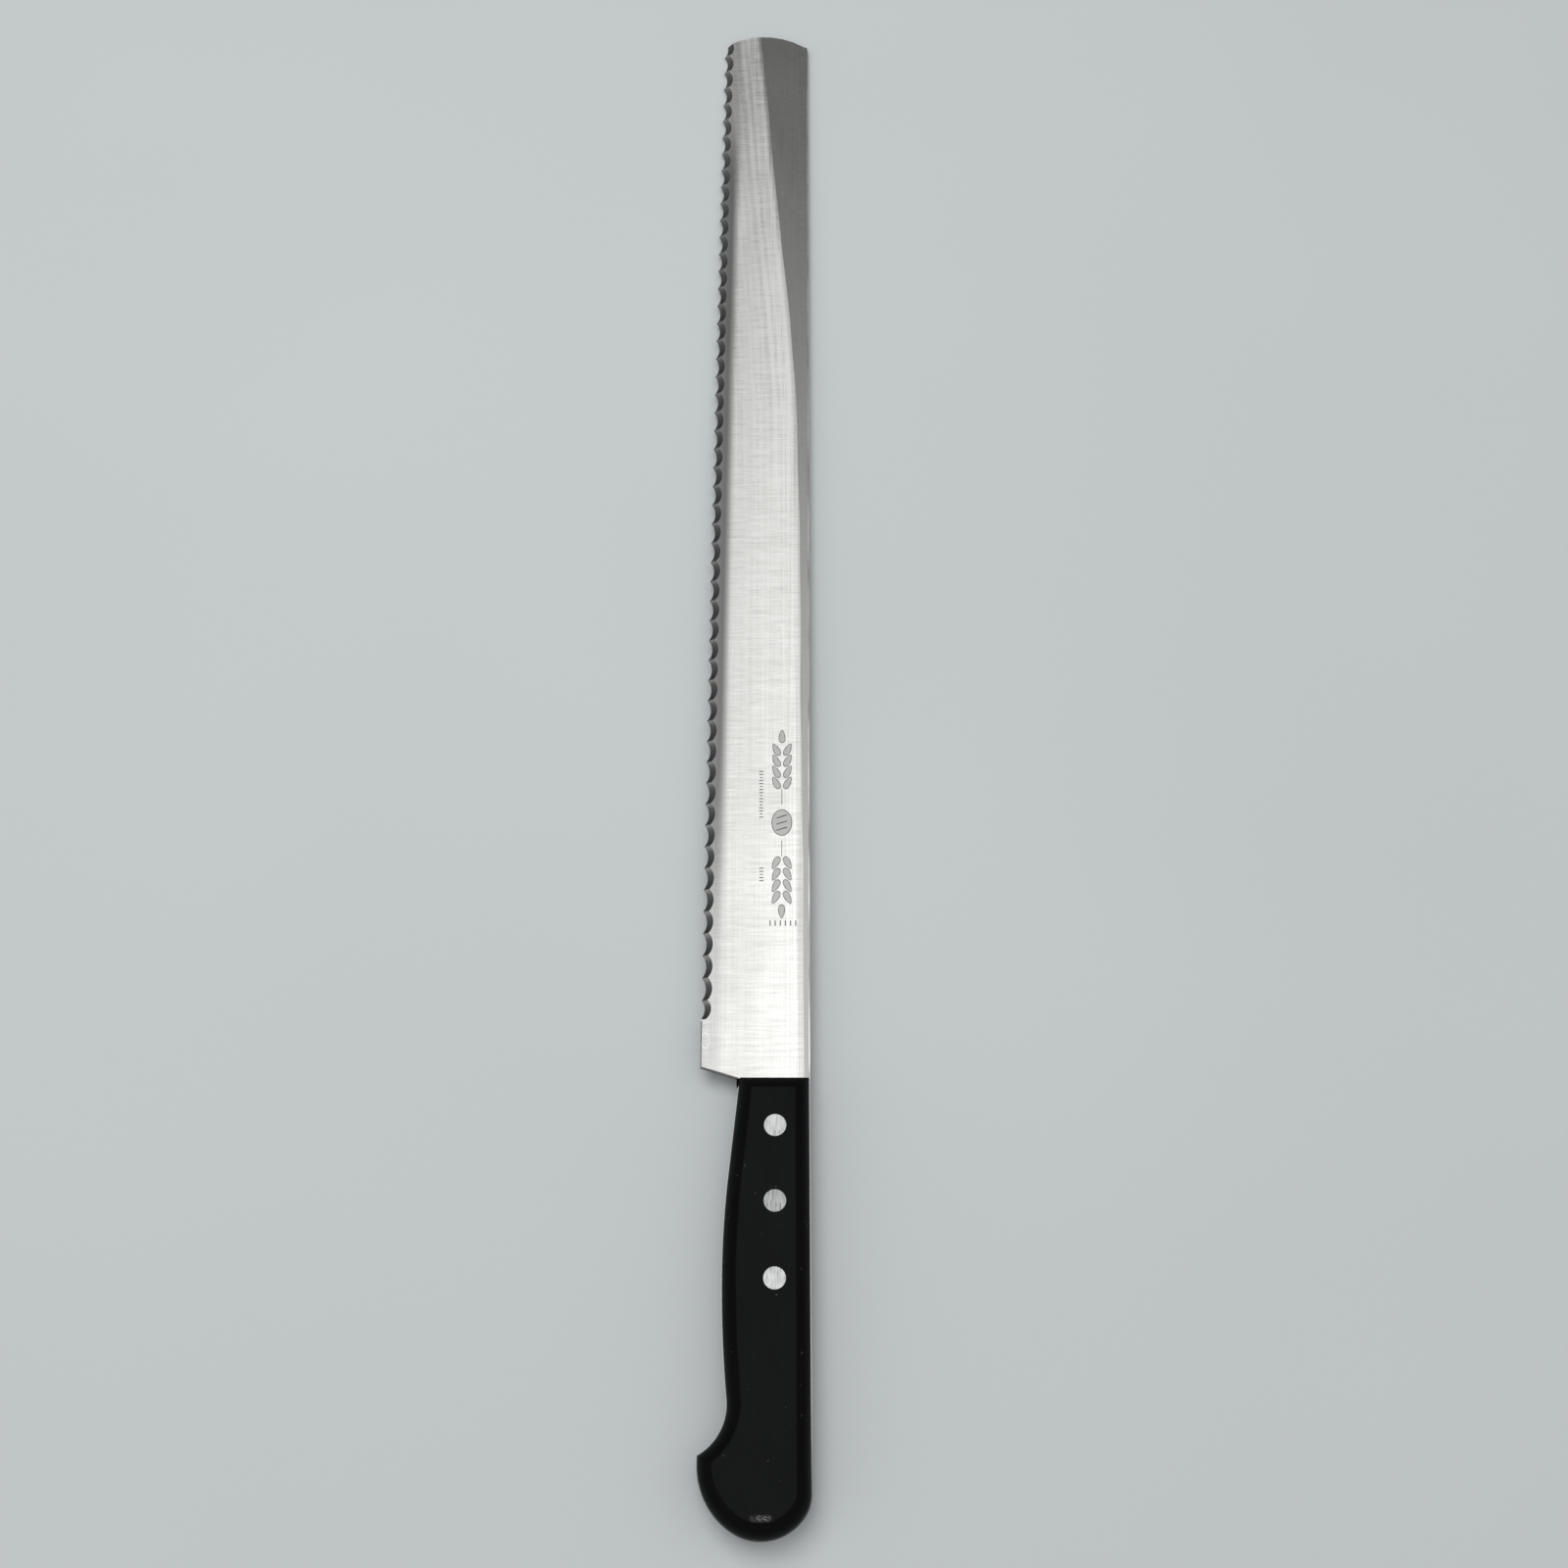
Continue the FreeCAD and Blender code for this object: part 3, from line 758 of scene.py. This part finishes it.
def face_height(x, y):
    """Height of the ground face above mid-thickness."""
    start, edge = grind_start(y), edge_height(y)
    share = max(0.0, (-x - start) / (edge - start))
    extra = max(0.0, (-x - edge + SHOULDER) / SHOULDER)
    return HALF_STEEL - (HALF_STEEL - HALF_EDGE) * share - SHOULDER_DROP * min(extra, 1.0) ** 1.5


def bevel_line(y):
    """x of the bevel's inner line, where the slope from the edge meets the face."""
    edge = inner = edge_line(y)
    for _ in range(10):
        inner = edge + (face_height(inner, y) + HALF_EDGE) / math.tan(BEVEL)
    return inner


COLUMNS = (4, 9, 5, 5, 4)   # on the flat strip, the face to the tang, the rest of it, its shoulder, the bevel


def columns(y, bevelled=True):
    """Places across the blade, from the spine to the edge, and which of them starts each part."""
    start, edge = grind_start(y), edge_height(y)
    inner = bevel_line(y) if bevelled else PLAIN_BEVEL - edge
    tang = TANG_CORNER * edge / BLADE_HEIGHT
    chamfer = SPINE_CHAMFER * min(1.0, max(y, 0.0) / CHAMFER_START)
    shoulder = edge - SHOULDER - 1.6
    last = min(-edge_line(y), edge) if bevelled else edge
    places = [0.0, max(chamfer, 0.02), 0.5, 0.85, TIP_CORNER]
    begin = TIP_CORNER
    for end, count in zip((start, tang, shoulder, -inner, last), COLUMNS):
        places += [begin + (end - begin) * i / count for i in range(1, count + 1)]
        begin = end
    return [-p for p in places]


SPINE_COLUMNS = 5
GRIND_COLUMN = SPINE_COLUMNS - 1 + COLUMNS[0]
TANG_COLUMN = GRIND_COLUMN + COLUMNS[1]
BEVEL_COLUMN = TANG_COLUMN + COLUMNS[2] + COLUMNS[3]


def blade_row(shape, place, bevelled=True):
    """A row of points across the blade, on the face and on the back. place(x) gives y at a place across."""
    xs = columns(place(-TIP_APEX), bevelled)
    for _ in range(6):
        xs = [columns(place(x), bevelled)[i] for i, x in enumerate(xs)]
    face, back = [], []
    for i, x in enumerate(xs):
        y = place(x)
        height = face_height(x, y)
        if i == 0:
            height -= SPINE_CHAMFER_DROP * min(1.0, max(y, 0.0) / CHAMFER_START)
        back_height = -height if i < BEVEL_COLUMN else -face_height(xs[BEVEL_COLUMN], place(xs[BEVEL_COLUMN]))
        if bevelled and i >= BEVEL_COLUMN:
            height = -HALF_EDGE + (x - edge_line(y)) * math.tan(BEVEL)
        if i > TANG_COLUMN:
            start = grind_start(y)
            plain = HALF_STEEL - (HALF_STEEL - HALF_EDGE) * (-x - start) / (edge_height(y) - start)
            back_height = -plain if i < len(xs) - 1 or not bevelled else -HALF_EDGE
        lines = (-x - grind_start(y), edge_height(y) + x)
        face.append(shape.point(x, y, height, (y, -x), lines))
        back.append(shape.point(x, y, back_height, (y, BACK_OFFSET - x), lines))
    return face, back


def finish_of(column):
    if column == 0:
        return CORNER
    if column < GRIND_COLUMN:
        return STRIP
    return GROUND if column < BEVEL_COLUMN else BEVEL_FACE


def make_blade():
    """The blade and the tang as one closed skin, built up in rows across it from the heel to the tip."""
    shape = Shape()
    rows = []
    for s in range(HEEL_ROWS):
        place = lambda x: heel_line(x) + (PLAIN_START - heel_line(x)) * s / HEEL_ROWS
        rows.append(blade_row(shape, place, False))
    for s in range(PLAIN_ROWS + 1):
        place = lambda x: PLAIN_START + (PLAIN_HEEL - PLAIN_START) * s / PLAIN_ROWS
        rows.append(blade_row(shape, place, False))
    places = []
    for near, far in zip(TEETH[:0:-1], TEETH[-2:0:-1]):
        steps = STEPS_PER_TOOTH if far - near > TOOTH_PITCH / 2 else RUN_OUT_STEPS
        places += [near + (far - near) * s / steps for s in range(steps)]
    rows += [blade_row(shape, lambda x: y) for y in places]
    for s in range(TIP_ROWS + 1):
        rows.append(blade_row(shape, lambda x: TEETH[1] + (tip_end(x) - TEETH[1]) * (s / TIP_ROWS)))
    for (face_a, back_a), (face_b, back_b) in zip(rows, rows[1:]):
        for i in range(len(face_a) - 1):
            level = abs(shape.points[face_a[0]][1] - shape.points[face_b[0]][1]) < 1e-9
            bevel = i >= BEVEL_COLUMN and not level and shape.points[face_b[i]][1] > PLAIN_HEEL
            kind = BEVEL_FACE if bevel else GROUND if i >= GRIND_COLUMN else finish_of(i)
            shape.face([face_a[i], face_a[i + 1], face_b[i + 1], face_b[i]], kind)
            back_kind = GROUND if i >= GRIND_COLUMN else finish_of(i)
            shape.face([back_a[i], back_b[i], back_b[i + 1], back_a[i + 1]], back_kind)
        shape.face([face_a[0], face_b[0], back_b[0], back_a[0]], SIDE)
        shape.face([face_a[-1], back_a[-1], back_b[-1], face_b[-1]], SIDE)
    face, back = rows[-1]
    shape.strip(face, back, SIDE)
    face, back = rows[0]
    shape.strip(face[TANG_COLUMN:], back[TANG_COLUMN:], SIDE)
    add_tang(shape, face[:TANG_COLUMN + 1], back[:TANG_COLUMN + 1])
    return shape


# ---- the etched panel ----
ETCH_LIFT = 0.006  # how far the etched skin stands out of the ground face
ETCH_DEPTH = 0.03
ETCH_LINE = 0.22  # width of an etched line
EAR_ROW = -8.0  # the panel's centre line, from the spine
KERNELS = 4  # pairs in an ear
KERNEL_PITCH = 3.5
KERNEL_SIZE = (4.3, 1.95)
DASH_LENGTH = 1.2
DASH_PITCH = 0.95


class Panel:
    """The etched panel: an ear of wheat each side of a plain loaf, and rows of strokes, without lettering."""

    def __init__(self):
        self.lines = Shape()
        self.fills = Shape()

    def skin(self, shape, x, y, top):
        return shape.point(x, y, face_height(x, y) + (ETCH_LIFT if top else -ETCH_DEPTH))

    def patch(self, shape, outline, hole=None):
        """A thin closed skin over an outline, or over the band between an outline and a hole in it."""
        rims = [[self.skin(shape, x, y, top) for x, y in outline] for top in (True, False)]
        shape.strip(rims[0], rims[1], closed=True)
        if hole is None:
            shape.face(rims[0])
            shape.face(rims[1][::-1])
            return
        inner = [[self.skin(shape, x, y, top) for x, y in hole] for top in (True, False)]
        shape.strip(inner[0], inner[1], closed=True)
        shape.strip(rims[0], inner[0], closed=True)
        shape.strip(rims[1], inner[1], closed=True)

    def drawn(self, outline):
        """A convex outline drawn with an etched line, and its inside a little duller than the blade."""
        points = [Vector(p) for p in outline]
        middle = sum(points, Vector((0, 0))) / len(points)
        inside = []
        for p in points:
            inward = middle - p
            inside.append(p + inward.normalized() * min(ETCH_LINE * 1.15, inward.length * 0.6))
        self.patch(self.lines, points, inside)
        self.patch(self.fills, inside)

    def stroke(self, a, b, width=ETCH_LINE):
        a, b = Vector(a), Vector(b)
        side = (b - a).orthogonal().normalized() * (width / 2)
        self.patch(self.lines, (a + side, b + side, b - side, a - side))

    def kernel(self, x, y, length, width, turn):
        """A pointed oval."""
        outline = []
        c, s = math.cos(math.radians(turn)), math.sin(math.radians(turn))
        for i in range(16):
            angle = 2 * math.pi * i / 16
            reach = length / 2 * math.cos(angle)
            across = width / 2 * math.sin(angle) * (1 - 0.35 * math.cos(angle))
            outline.append((x + reach * c - across * s, y + reach * s + across * c))
        self.drawn(outline)

    def ear(self, foot, way):
        """An ear of wheat along the blade, from its stalk at foot: way is 1 towards the tip and -1 back."""
        self.stroke((EAR_ROW, foot), (EAR_ROW, foot + way * 5.0))
        for i in range(KERNELS):
            y = foot + way * (6.0 + KERNEL_PITCH * i)
            for side in (-1, 1):
                self.kernel(EAR_ROW + side * 1.7, y + way * 0.9, *KERNEL_SIZE, way * (90 - side * 26))
        self.kernel(EAR_ROW, foot + way * (7.6 + KERNEL_PITCH * KERNELS), *KERNEL_SIZE, way * 90)

    def loaf(self, y):
        angles = [math.pi * i / 20 for i in range(40)]
        self.drawn([(EAR_ROW + 3.0 * math.cos(a), y + 4.1 * math.sin(a)) for a in angles])
        for i in (-1, 0, 1):
            self.stroke((EAR_ROW - 1.5, y + 1.9 * i - 0.5), (EAR_ROW + 1.5, y + 1.9 * i + 0.5), 0.35)

    def dashes(self, x, y, count):
        """A row of short dashes towards the handle, every third one shorter."""
        for i in range(count):
            reach = DASH_LENGTH * (0.6 if i % 3 == 2 else 1.0) / 2
            self.stroke((x - reach, y - DASH_PITCH * i), (x + reach, y - DASH_PITCH * i), 0.3)


def make_panel():
    """Lays out the panel and makes its two pieces, the lines and the duller areas inside them."""
    panel = Panel()
    panel.ear(81.5, 1)
    panel.loaf(76.0)
    panel.ear(70.5, -1)
    panel.dashes(-14.0, 92.0, 16)
    panel.dashes(-13.8, 62.0, 5)
    for i in range(6):
        x = -4.0 - 1.45 * i
        panel.stroke((x, 44.6), (x, 46.2), 0.34)
    for title, shape, tones in (("line", panel.lines, LINE_TONES), ("fill", panel.fills, FILL_TONES)):
        piece = shape.make("blade_etching_" + title, [etched_steel(title, *tones)])
        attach(piece, "root")


def add_tang(shape, face, back):
    """The tang, full thickness, from its front edge in the plane of the handle's front."""
    stations = [s for s in handle_stations([0.0]) if s[3] is None]
    beak = beak_mitre(0)
    rim = []
    for foot, inward, _, _ in stations:
        if foot.y < -0.4:
            rim.append(foot - inward * TANG_PROUD)
    order = []
    turned = False
    for point in rim:
        if not turned and point.x < -25 and point.y > beak[0].y and order and order[-1].x < -25:
            order.append(Vector((BEAK_BACK.x - TANG_PROUD, beak_mitre(-TANG_PROUD)[0].y)))
            turned = True
        order.append(point)
    sides = {}
    for level, row in ((HALF_STEEL, face), (-HALF_STEEL, back)):
        front = [shape.point(shape.points[n][0], 0.0, level, (0.0, -shape.points[n][0])) for n in row]
        outline = [shape.point(p.x, p.y, level, (p.y, -p.x)) for p in order]
        hole = TUBE_DIAMETER / 2 + TUBE_CLEARANCE
        holes = [ring_of(shape, (-RIVET_FROM_SPINE, -place), hole, level) for place in RIVETS.values()]
        shape.strip(row, front, STRIP)
        shape.plate(front[::-1] + outline, holes, STRIP)
        sides[level] = ([front[0]] + outline + [front[-1]], holes)
    (rim_a, holes_a), (rim_b, holes_b) = sides[HALF_STEEL], sides[-HALF_STEEL]
    shape.strip(rim_a[:-1], rim_b[:-1], SIDE)
    shape.face([rim_a[-2], rim_a[-1], face[-1], back[-1], rim_b[-1], rim_b[-2]], SIDE)
    for a, b in zip(holes_a, holes_b):
        shape.strip(a, b, STRIP, closed=True)


# ---- the scales ----
SOFT_FROM = 64.0  # degrees round the edge where the sanded crease starts to soften
SOFT_REACH = 0.12  # and how far past the crease, onto the flat face, it goes
SOFT_STEPS = 5
ARC_STEPS = 12
FLAT_RIM = 0.35  # width of the flat ring between the softened crease and the flat face
SAME_POINT = 1e-5


def scale_profile():
    """The rounded edge as (inset, height): wall, arc, softened crease, flat."""
    angles = [math.radians(SOFT_FROM * i / ARC_STEPS) for i in range(ARC_STEPS + 1)]
    arc = [(EDGE_ROUND * (1 - math.cos(a)), WALL_TOP + EDGE_ROUND * math.sin(a)) for a in angles]
    (d0, z0), a = arc[-1], angles[-1]
    slope = math.cos(a) / math.sin(a)
    meet = d0 + (HALF_HANDLE - z0) / slope
    end = CREASE_INSET + SOFT_REACH
    soft = []
    for i in range(1, SOFT_STEPS + 1):
        t = i / SOFT_STEPS
        inset = d0 * (1 - t) ** 2 + 2 * meet * t * (1 - t) + end * t ** 2
        height = z0 * (1 - t) ** 2 + 2 * HALF_HANDLE * t * (1 - t) + HALF_HANDLE * t ** 2
        soft.append((inset, height))
    return [(0.0, HALF_STEEL)] + arc + soft + [(end + FLAT_RIM, HALF_HANDLE)]


def make_scale(side):
    """A handle scale: side is 1 for the upper and -1 for the lower."""
    shape = Shape()
    profile = scale_profile()
    insets, heights = zip(*profile)
    stations = handle_stations(insets)
    rings = []
    for level, (inset, height) in enumerate(profile):
        ring = []
        for foot, inward, stop, point in stations:
            if inset > stop:
                height_there = float(np.interp(stop, insets[1:], heights[1:]))
                ring.append(shape.point(point.x, point.y, side * height_there))
            else:
                spot = point if stop == inset and point is not None else foot + inward * inset
                ring.append(shape.point(spot.x, spot.y, side * height))
        rings.append(ring)
    for a, b in zip(rings, rings[1:]):
        shape.strip(a, b, closed=True)
    widest = profile[-1][0]
    top = unique_loop(shape, [n for n, station in zip(rings[-1], stations) if station[2] >= widest])
    bottom = unique_loop(shape, rings[0])
    top_holes, bottom_holes = [], []
    for place in RIVETS.values():
        centre = (-RIVET_FROM_SPINE, -place)
        wide, narrow = HEAD_DIAMETER / 2 + HEAD_CLEARANCE, TUBE_DIAMETER / 2 + TUBE_CLEARANCE
        mouth = ring_of(shape, centre, wide, side * HALF_HANDLE)
        seat_rim = ring_of(shape, centre, wide, side * SEAT)
        seat_hole = ring_of(shape, centre, narrow, side * SEAT)
        foot = ring_of(shape, centre, narrow, side * HALF_STEEL)
        for a, b in ((mouth, seat_rim), (seat_rim, seat_hole), (seat_hole, foot)):
            shape.strip(a, b, closed=True)
        top_holes.append(mouth)
        bottom_holes.append(foot)
    shape.plate(top, top_holes)
    shape.plate(bottom, bottom_holes)
    add_nib(shape, side)
    return shape


def unique_loop(shape, ring):
    """The ring without points that lie on the one before."""
    loop = []
    for number in ring:
        here = Vector(shape.points[number])
        if not loop or (here - Vector(shape.points[loop[-1]])).length > SAME_POINT:
            loop.append(number)
    while (Vector(shape.points[loop[0]]) - Vector(shape.points[loop[-1]])).length < SAME_POINT:
        loop.pop()
    return loop


def add_nib(shape, side):
    """The small moulded stop at the front corner, behind the heel, with a rounded outer end."""
    outline = []
    right, left = grip_front.x + 0.5, grip_front.x - NIB_REACH
    soft = 0.35
    for cx, cy, start in ((left + soft, -soft, 90), (left + soft, -NIB_LENGTH + soft, 180)):
        for i in range(5):
            angle = math.radians(start + 22.5 * i)
            outline.append((cx + soft * math.cos(angle), cy + soft * math.sin(angle)))
    outline += [(right, -NIB_LENGTH), (right, -0.02)]
    loops = [
        [shape.point(x, y - 0.01, side * z) for x, y in outline]
        for z in (HALF_STEEL + 0.01, HALF_STEEL + NIB_HEIGHT)
    ]
    shape.strip(loops[0], loops[1], closed=True)
    shape.face(loops[0])
    shape.face(loops[1][::-1])


# ---- the rivets ----
def lathe(shape, place, profile, count=72):
    """Turns a profile of (radius, height) round a rivet's axis. It starts and ends on the axis."""
    centre = (-RIVET_FROM_SPINE, -place)
    rings = []
    for radius, z in profile:
        if radius > 0:
            rings.append(ring_of(shape, centre, radius, z, count))
        else:
            rings.append([shape.point(centre[0], centre[1], z)] * count)
    for a, b in zip(rings, rings[1:]):
        shape.strip(a, b, closed=True)


def head_profile(side):
    """A head from the middle of its face to its seat, with the slight round that sanding leaves."""
    radius, soft = HEAD_DIAMETER / 2, 0.14
    points = [(0.0, HALF_HANDLE), (radius * 0.5, HALF_HANDLE), (radius - soft * 1.6, HALF_HANDLE)]
    for i in range(4):
        angle = math.radians(30 * i)
        drop = soft * 0.5 * (1 - math.cos(angle))
        points.append((radius - soft + soft * math.sin(angle), HALF_HANDLE - drop))
    points.append((radius, SEAT))
    return [(r, side * z) for r, z in points]


def tube_half():
    """The profile of a rivet's upper half: a head, and a tube down to just above the lower head."""
    tube, bore, end = TUBE_DIAMETER / 2, PIN_DIAMETER / 2, TUBE_END_GAP - SEAT
    return head_profile(1) + [(tube, SEAT), (tube, end), (bore, end), (bore, SEAT), (0.0, SEAT)]


def pin_half():
    """The profile of its lower half: a head, and a pin with a small taper at its end."""
    pin, end = PIN_DIAMETER / 2, SEAT - PIN_END_GAP
    return head_profile(-1) + [(pin, -SEAT), (pin, end - 0.2), (pin - 0.2, end), (0.0, end)]


stand_for(make_blade().make("blade_steel_body", blade_materials), "blade")
make_panel()
for side, name in ((1, "upper"), (-1, "lower")):
    scale = make_scale(side).make("scale_" + name + "_plastic", [plastic_material], SCALE_CREASE)
    stand_for(scale, name + "_scale")
for rivet, place in RIVETS.items():
    for side, node, profile in (("upper", "tube", tube_half()), ("lower", "pin", pin_half())):
        shape = Shape()
        lathe(shape, place, profile)
        half = shape.make("rivet_head_" + side + "_" + rivet, [rivet_material])
        stand_for(half, "rivet_" + node + "_" + rivet)


# ---- floor, light and camera ----
FLOOR_TONE = (0.52, 0.55, 0.555)
# painted light: the floor is coloured lighter far away, to make up for the lamp that no longer reaches there
FAR_PAINTED_LIGHT_TONE = (0.80, 0.85, 0.86)  # lighter far away, where the lamp no longer reaches
FAR_RANGE = (0.15, 3.0)  # squares of the distances between which it changes
FLOOR_SIZE = 24.0
FLOOR_GAP = 0.00003
# The knife rests on the front of its lower scale and on its tip, so the floor leans a little to meet both.
rest_rear = at(0, -CREASE_INSET, -HALF_HANDLE)
rest_tip = at(0, BLADE_LENGTH - 1.0, -HALF_STEEL)
lean = math.atan2(rest_tip.z - rest_rear.z, rest_tip.y - rest_rear.y)


def make_floor():
    work = bmesh.new()
    bmesh.ops.create_grid(work, x_segments=8, y_segments=8, size=FLOOR_SIZE / 2)
    mesh = bpy.data.meshes.new("floor")
    work.to_mesh(mesh)
    work.free()
    floor = bpy.data.objects.new("floor", mesh)
    floor.rotation_euler = (lean, 0, 0)
    floor.location = (rest_rear.x, rest_rear.y, rest_rear.z - FLOOR_GAP)
    bpy.context.scene.collection.objects.link(floor)
    paint = Finish("floor_paper", FLOOR_TONE, 0.0, 0.85)
    place = paint.place()
    grain = paint.noise(place, (900, 900, 900), 3.0, 0.6)
    cloud = paint.noise(place, (5, 5, 5), 2.0, 0.5, 2.0)
    tone = paint.add(paint.spread(grain, 0.0, 0.3), paint.spread(cloud, 0.0, 0.7))
    near = paint.blend(tone, *(tuple(c * share for c in FLOOR_TONE) for share in (0.985, 1.015)))
    east, north, _ = paint.parts(place)
    away = paint.add(paint.times(east, east), paint.times(north, north))
    paint.set("Base Color", paint.blend(paint.ramp(away, *FAR_RANGE), near, FAR_PAINTED_LIGHT_TONE))
    paint.bump(grain, 0.03, 0.2)
    paint.set("Specular IOR Level", 0.2)
    mesh.materials.append(paint.material)


make_floor()


GLOW_DIRECTION = (0.0, math.sin(math.radians(2)), math.cos(math.radians(2)))
GLOW_START = 10.0  # degrees from its direction where the glow starts to fall, and where it ends
GLOW_END = 37.0
GLOW_LEVEL = 1.2
WINDOW_DIRECTIONS = ((-0.72, -0.27, 0.62), (0.63, 0.20, 0.75))
WINDOW_START = 8.0
WINDOW_END = 20.0
WINDOW_LEVEL = 0.75
SIDE_RANGE = (-0.3, 0.6)  # from the handle's side to the tip's side
SIDE_NEAR = 0.52
SIDE_FAR = 0.22
LOW_HEIGHT = 0.45
LOW_SHARE = 0.35
LIGHT_TINT = (1.0, 1.0, 1.0)
BACKDROP_TONE = (0.60, 0.64, 0.65)


def make_world():
    """Soft studio light: a wide glow overhead, two window-like patches, and less light from beyond the tip.

    The camera sees a plain backdrop instead.
    """
    world = bpy.data.worlds.new("studio")
    bpy.context.scene.world = world
    world.use_nodes = True
    sky = Nodes(world.node_tree)
    direction = sky.node("TexCoord").outputs["Generated"]
    _, y, z = sky.parts(direction)

    def patch(towards, start, end, level):
        """Light from round a direction, full up to one angle from it and none past another."""
        facing = sky.node("VectorMath")
        facing.operation = "DOT_PRODUCT"
        sky.put(facing.inputs[0], direction)
        sky.put(facing.inputs[1], towards)
        none, full = math.cos(math.radians(end)), math.cos(math.radians(start))
        return sky.ramp(facing.outputs["Value"], none, full, 0.0, level)

    glow = patch(GLOW_DIRECTION, GLOW_START, GLOW_END, GLOW_LEVEL)
    for towards in WINDOW_DIRECTIONS:
        glow = sky.add(glow, patch(Vector(towards).normalized(), WINDOW_START, WINDOW_END, WINDOW_LEVEL))
    sides = sky.ramp(y, *SIDE_RANGE, SIDE_NEAR, SIDE_FAR)
    low = sky.times(sides, sky.ramp(z, 0.0, LOW_HEIGHT, LOW_SHARE, 1.0))
    lit = sky.node("Background", Color=(*LIGHT_TINT, 1.0), Strength=sky.add(glow, low))
    plain = sky.node("Background", Color=(*BACKDROP_TONE, 1.0))
    choose = sky.node("MixShader")
    seen = sky.node("LightPath").outputs["Is Camera Ray"]
    for socket, value in zip(choose.inputs, (seen, lit.outputs[0], plain.outputs[0])):
        sky.put(socket, value)
    sky.node("OutputWorld", Surface=choose.outputs[0])


make_world()

SOFTBOX_PLACE = (-0.20, 0.13, 1.1)  # from the middle of the knife, in metres
SOFTBOX_SIZE = 0.6
SOFTBOX_POWER = 5.0


def make_softbox(target):
    light = bpy.data.lights.new("softbox", "AREA")
    light.shape = "RECTANGLE"
    light.size = light.size_y = SOFTBOX_SIZE
    light.energy = SOFTBOX_POWER
    lamp = bpy.data.objects.new("softbox", light)
    lamp.location = target + Vector(SOFTBOX_PLACE)
    lamp.rotation_euler = (target - lamp.location).to_track_quat("-Z", "Y").to_euler()
    lamp.visible_glossy = False
    bpy.context.scene.collection.objects.link(lamp)


make_softbox((cad_box[0] + cad_box[1]) / 2)

CAMERA_PLACE = (-7.4, -158.0, 601.0)
CAMERA_TARGET = (-7.4, 88.4, 0.0)
CAMERA_LENS = 51.2
CAMERA_SENSOR = 36.0
CAMERA_ROLL = 0.13  # degrees
camera_data = bpy.data.cameras.new("camera")
camera = bpy.data.objects.new("camera", camera_data)
bpy.context.scene.collection.objects.link(camera)
camera_data.lens = CAMERA_LENS
camera_data.sensor_width = CAMERA_SENSOR
camera.location = at(*CAMERA_PLACE)
camera.rotation_mode = "QUATERNION"
camera.rotation_quaternion = (at(*CAMERA_TARGET) - camera.location).to_track_quat("-Z", "Y")
camera.rotation_quaternion @= Quaternion((0, 0, 1), math.radians(CAMERA_ROLL))
bpy.context.scene.camera = camera
bpy.context.scene.view_settings.view_transform = "Standard"
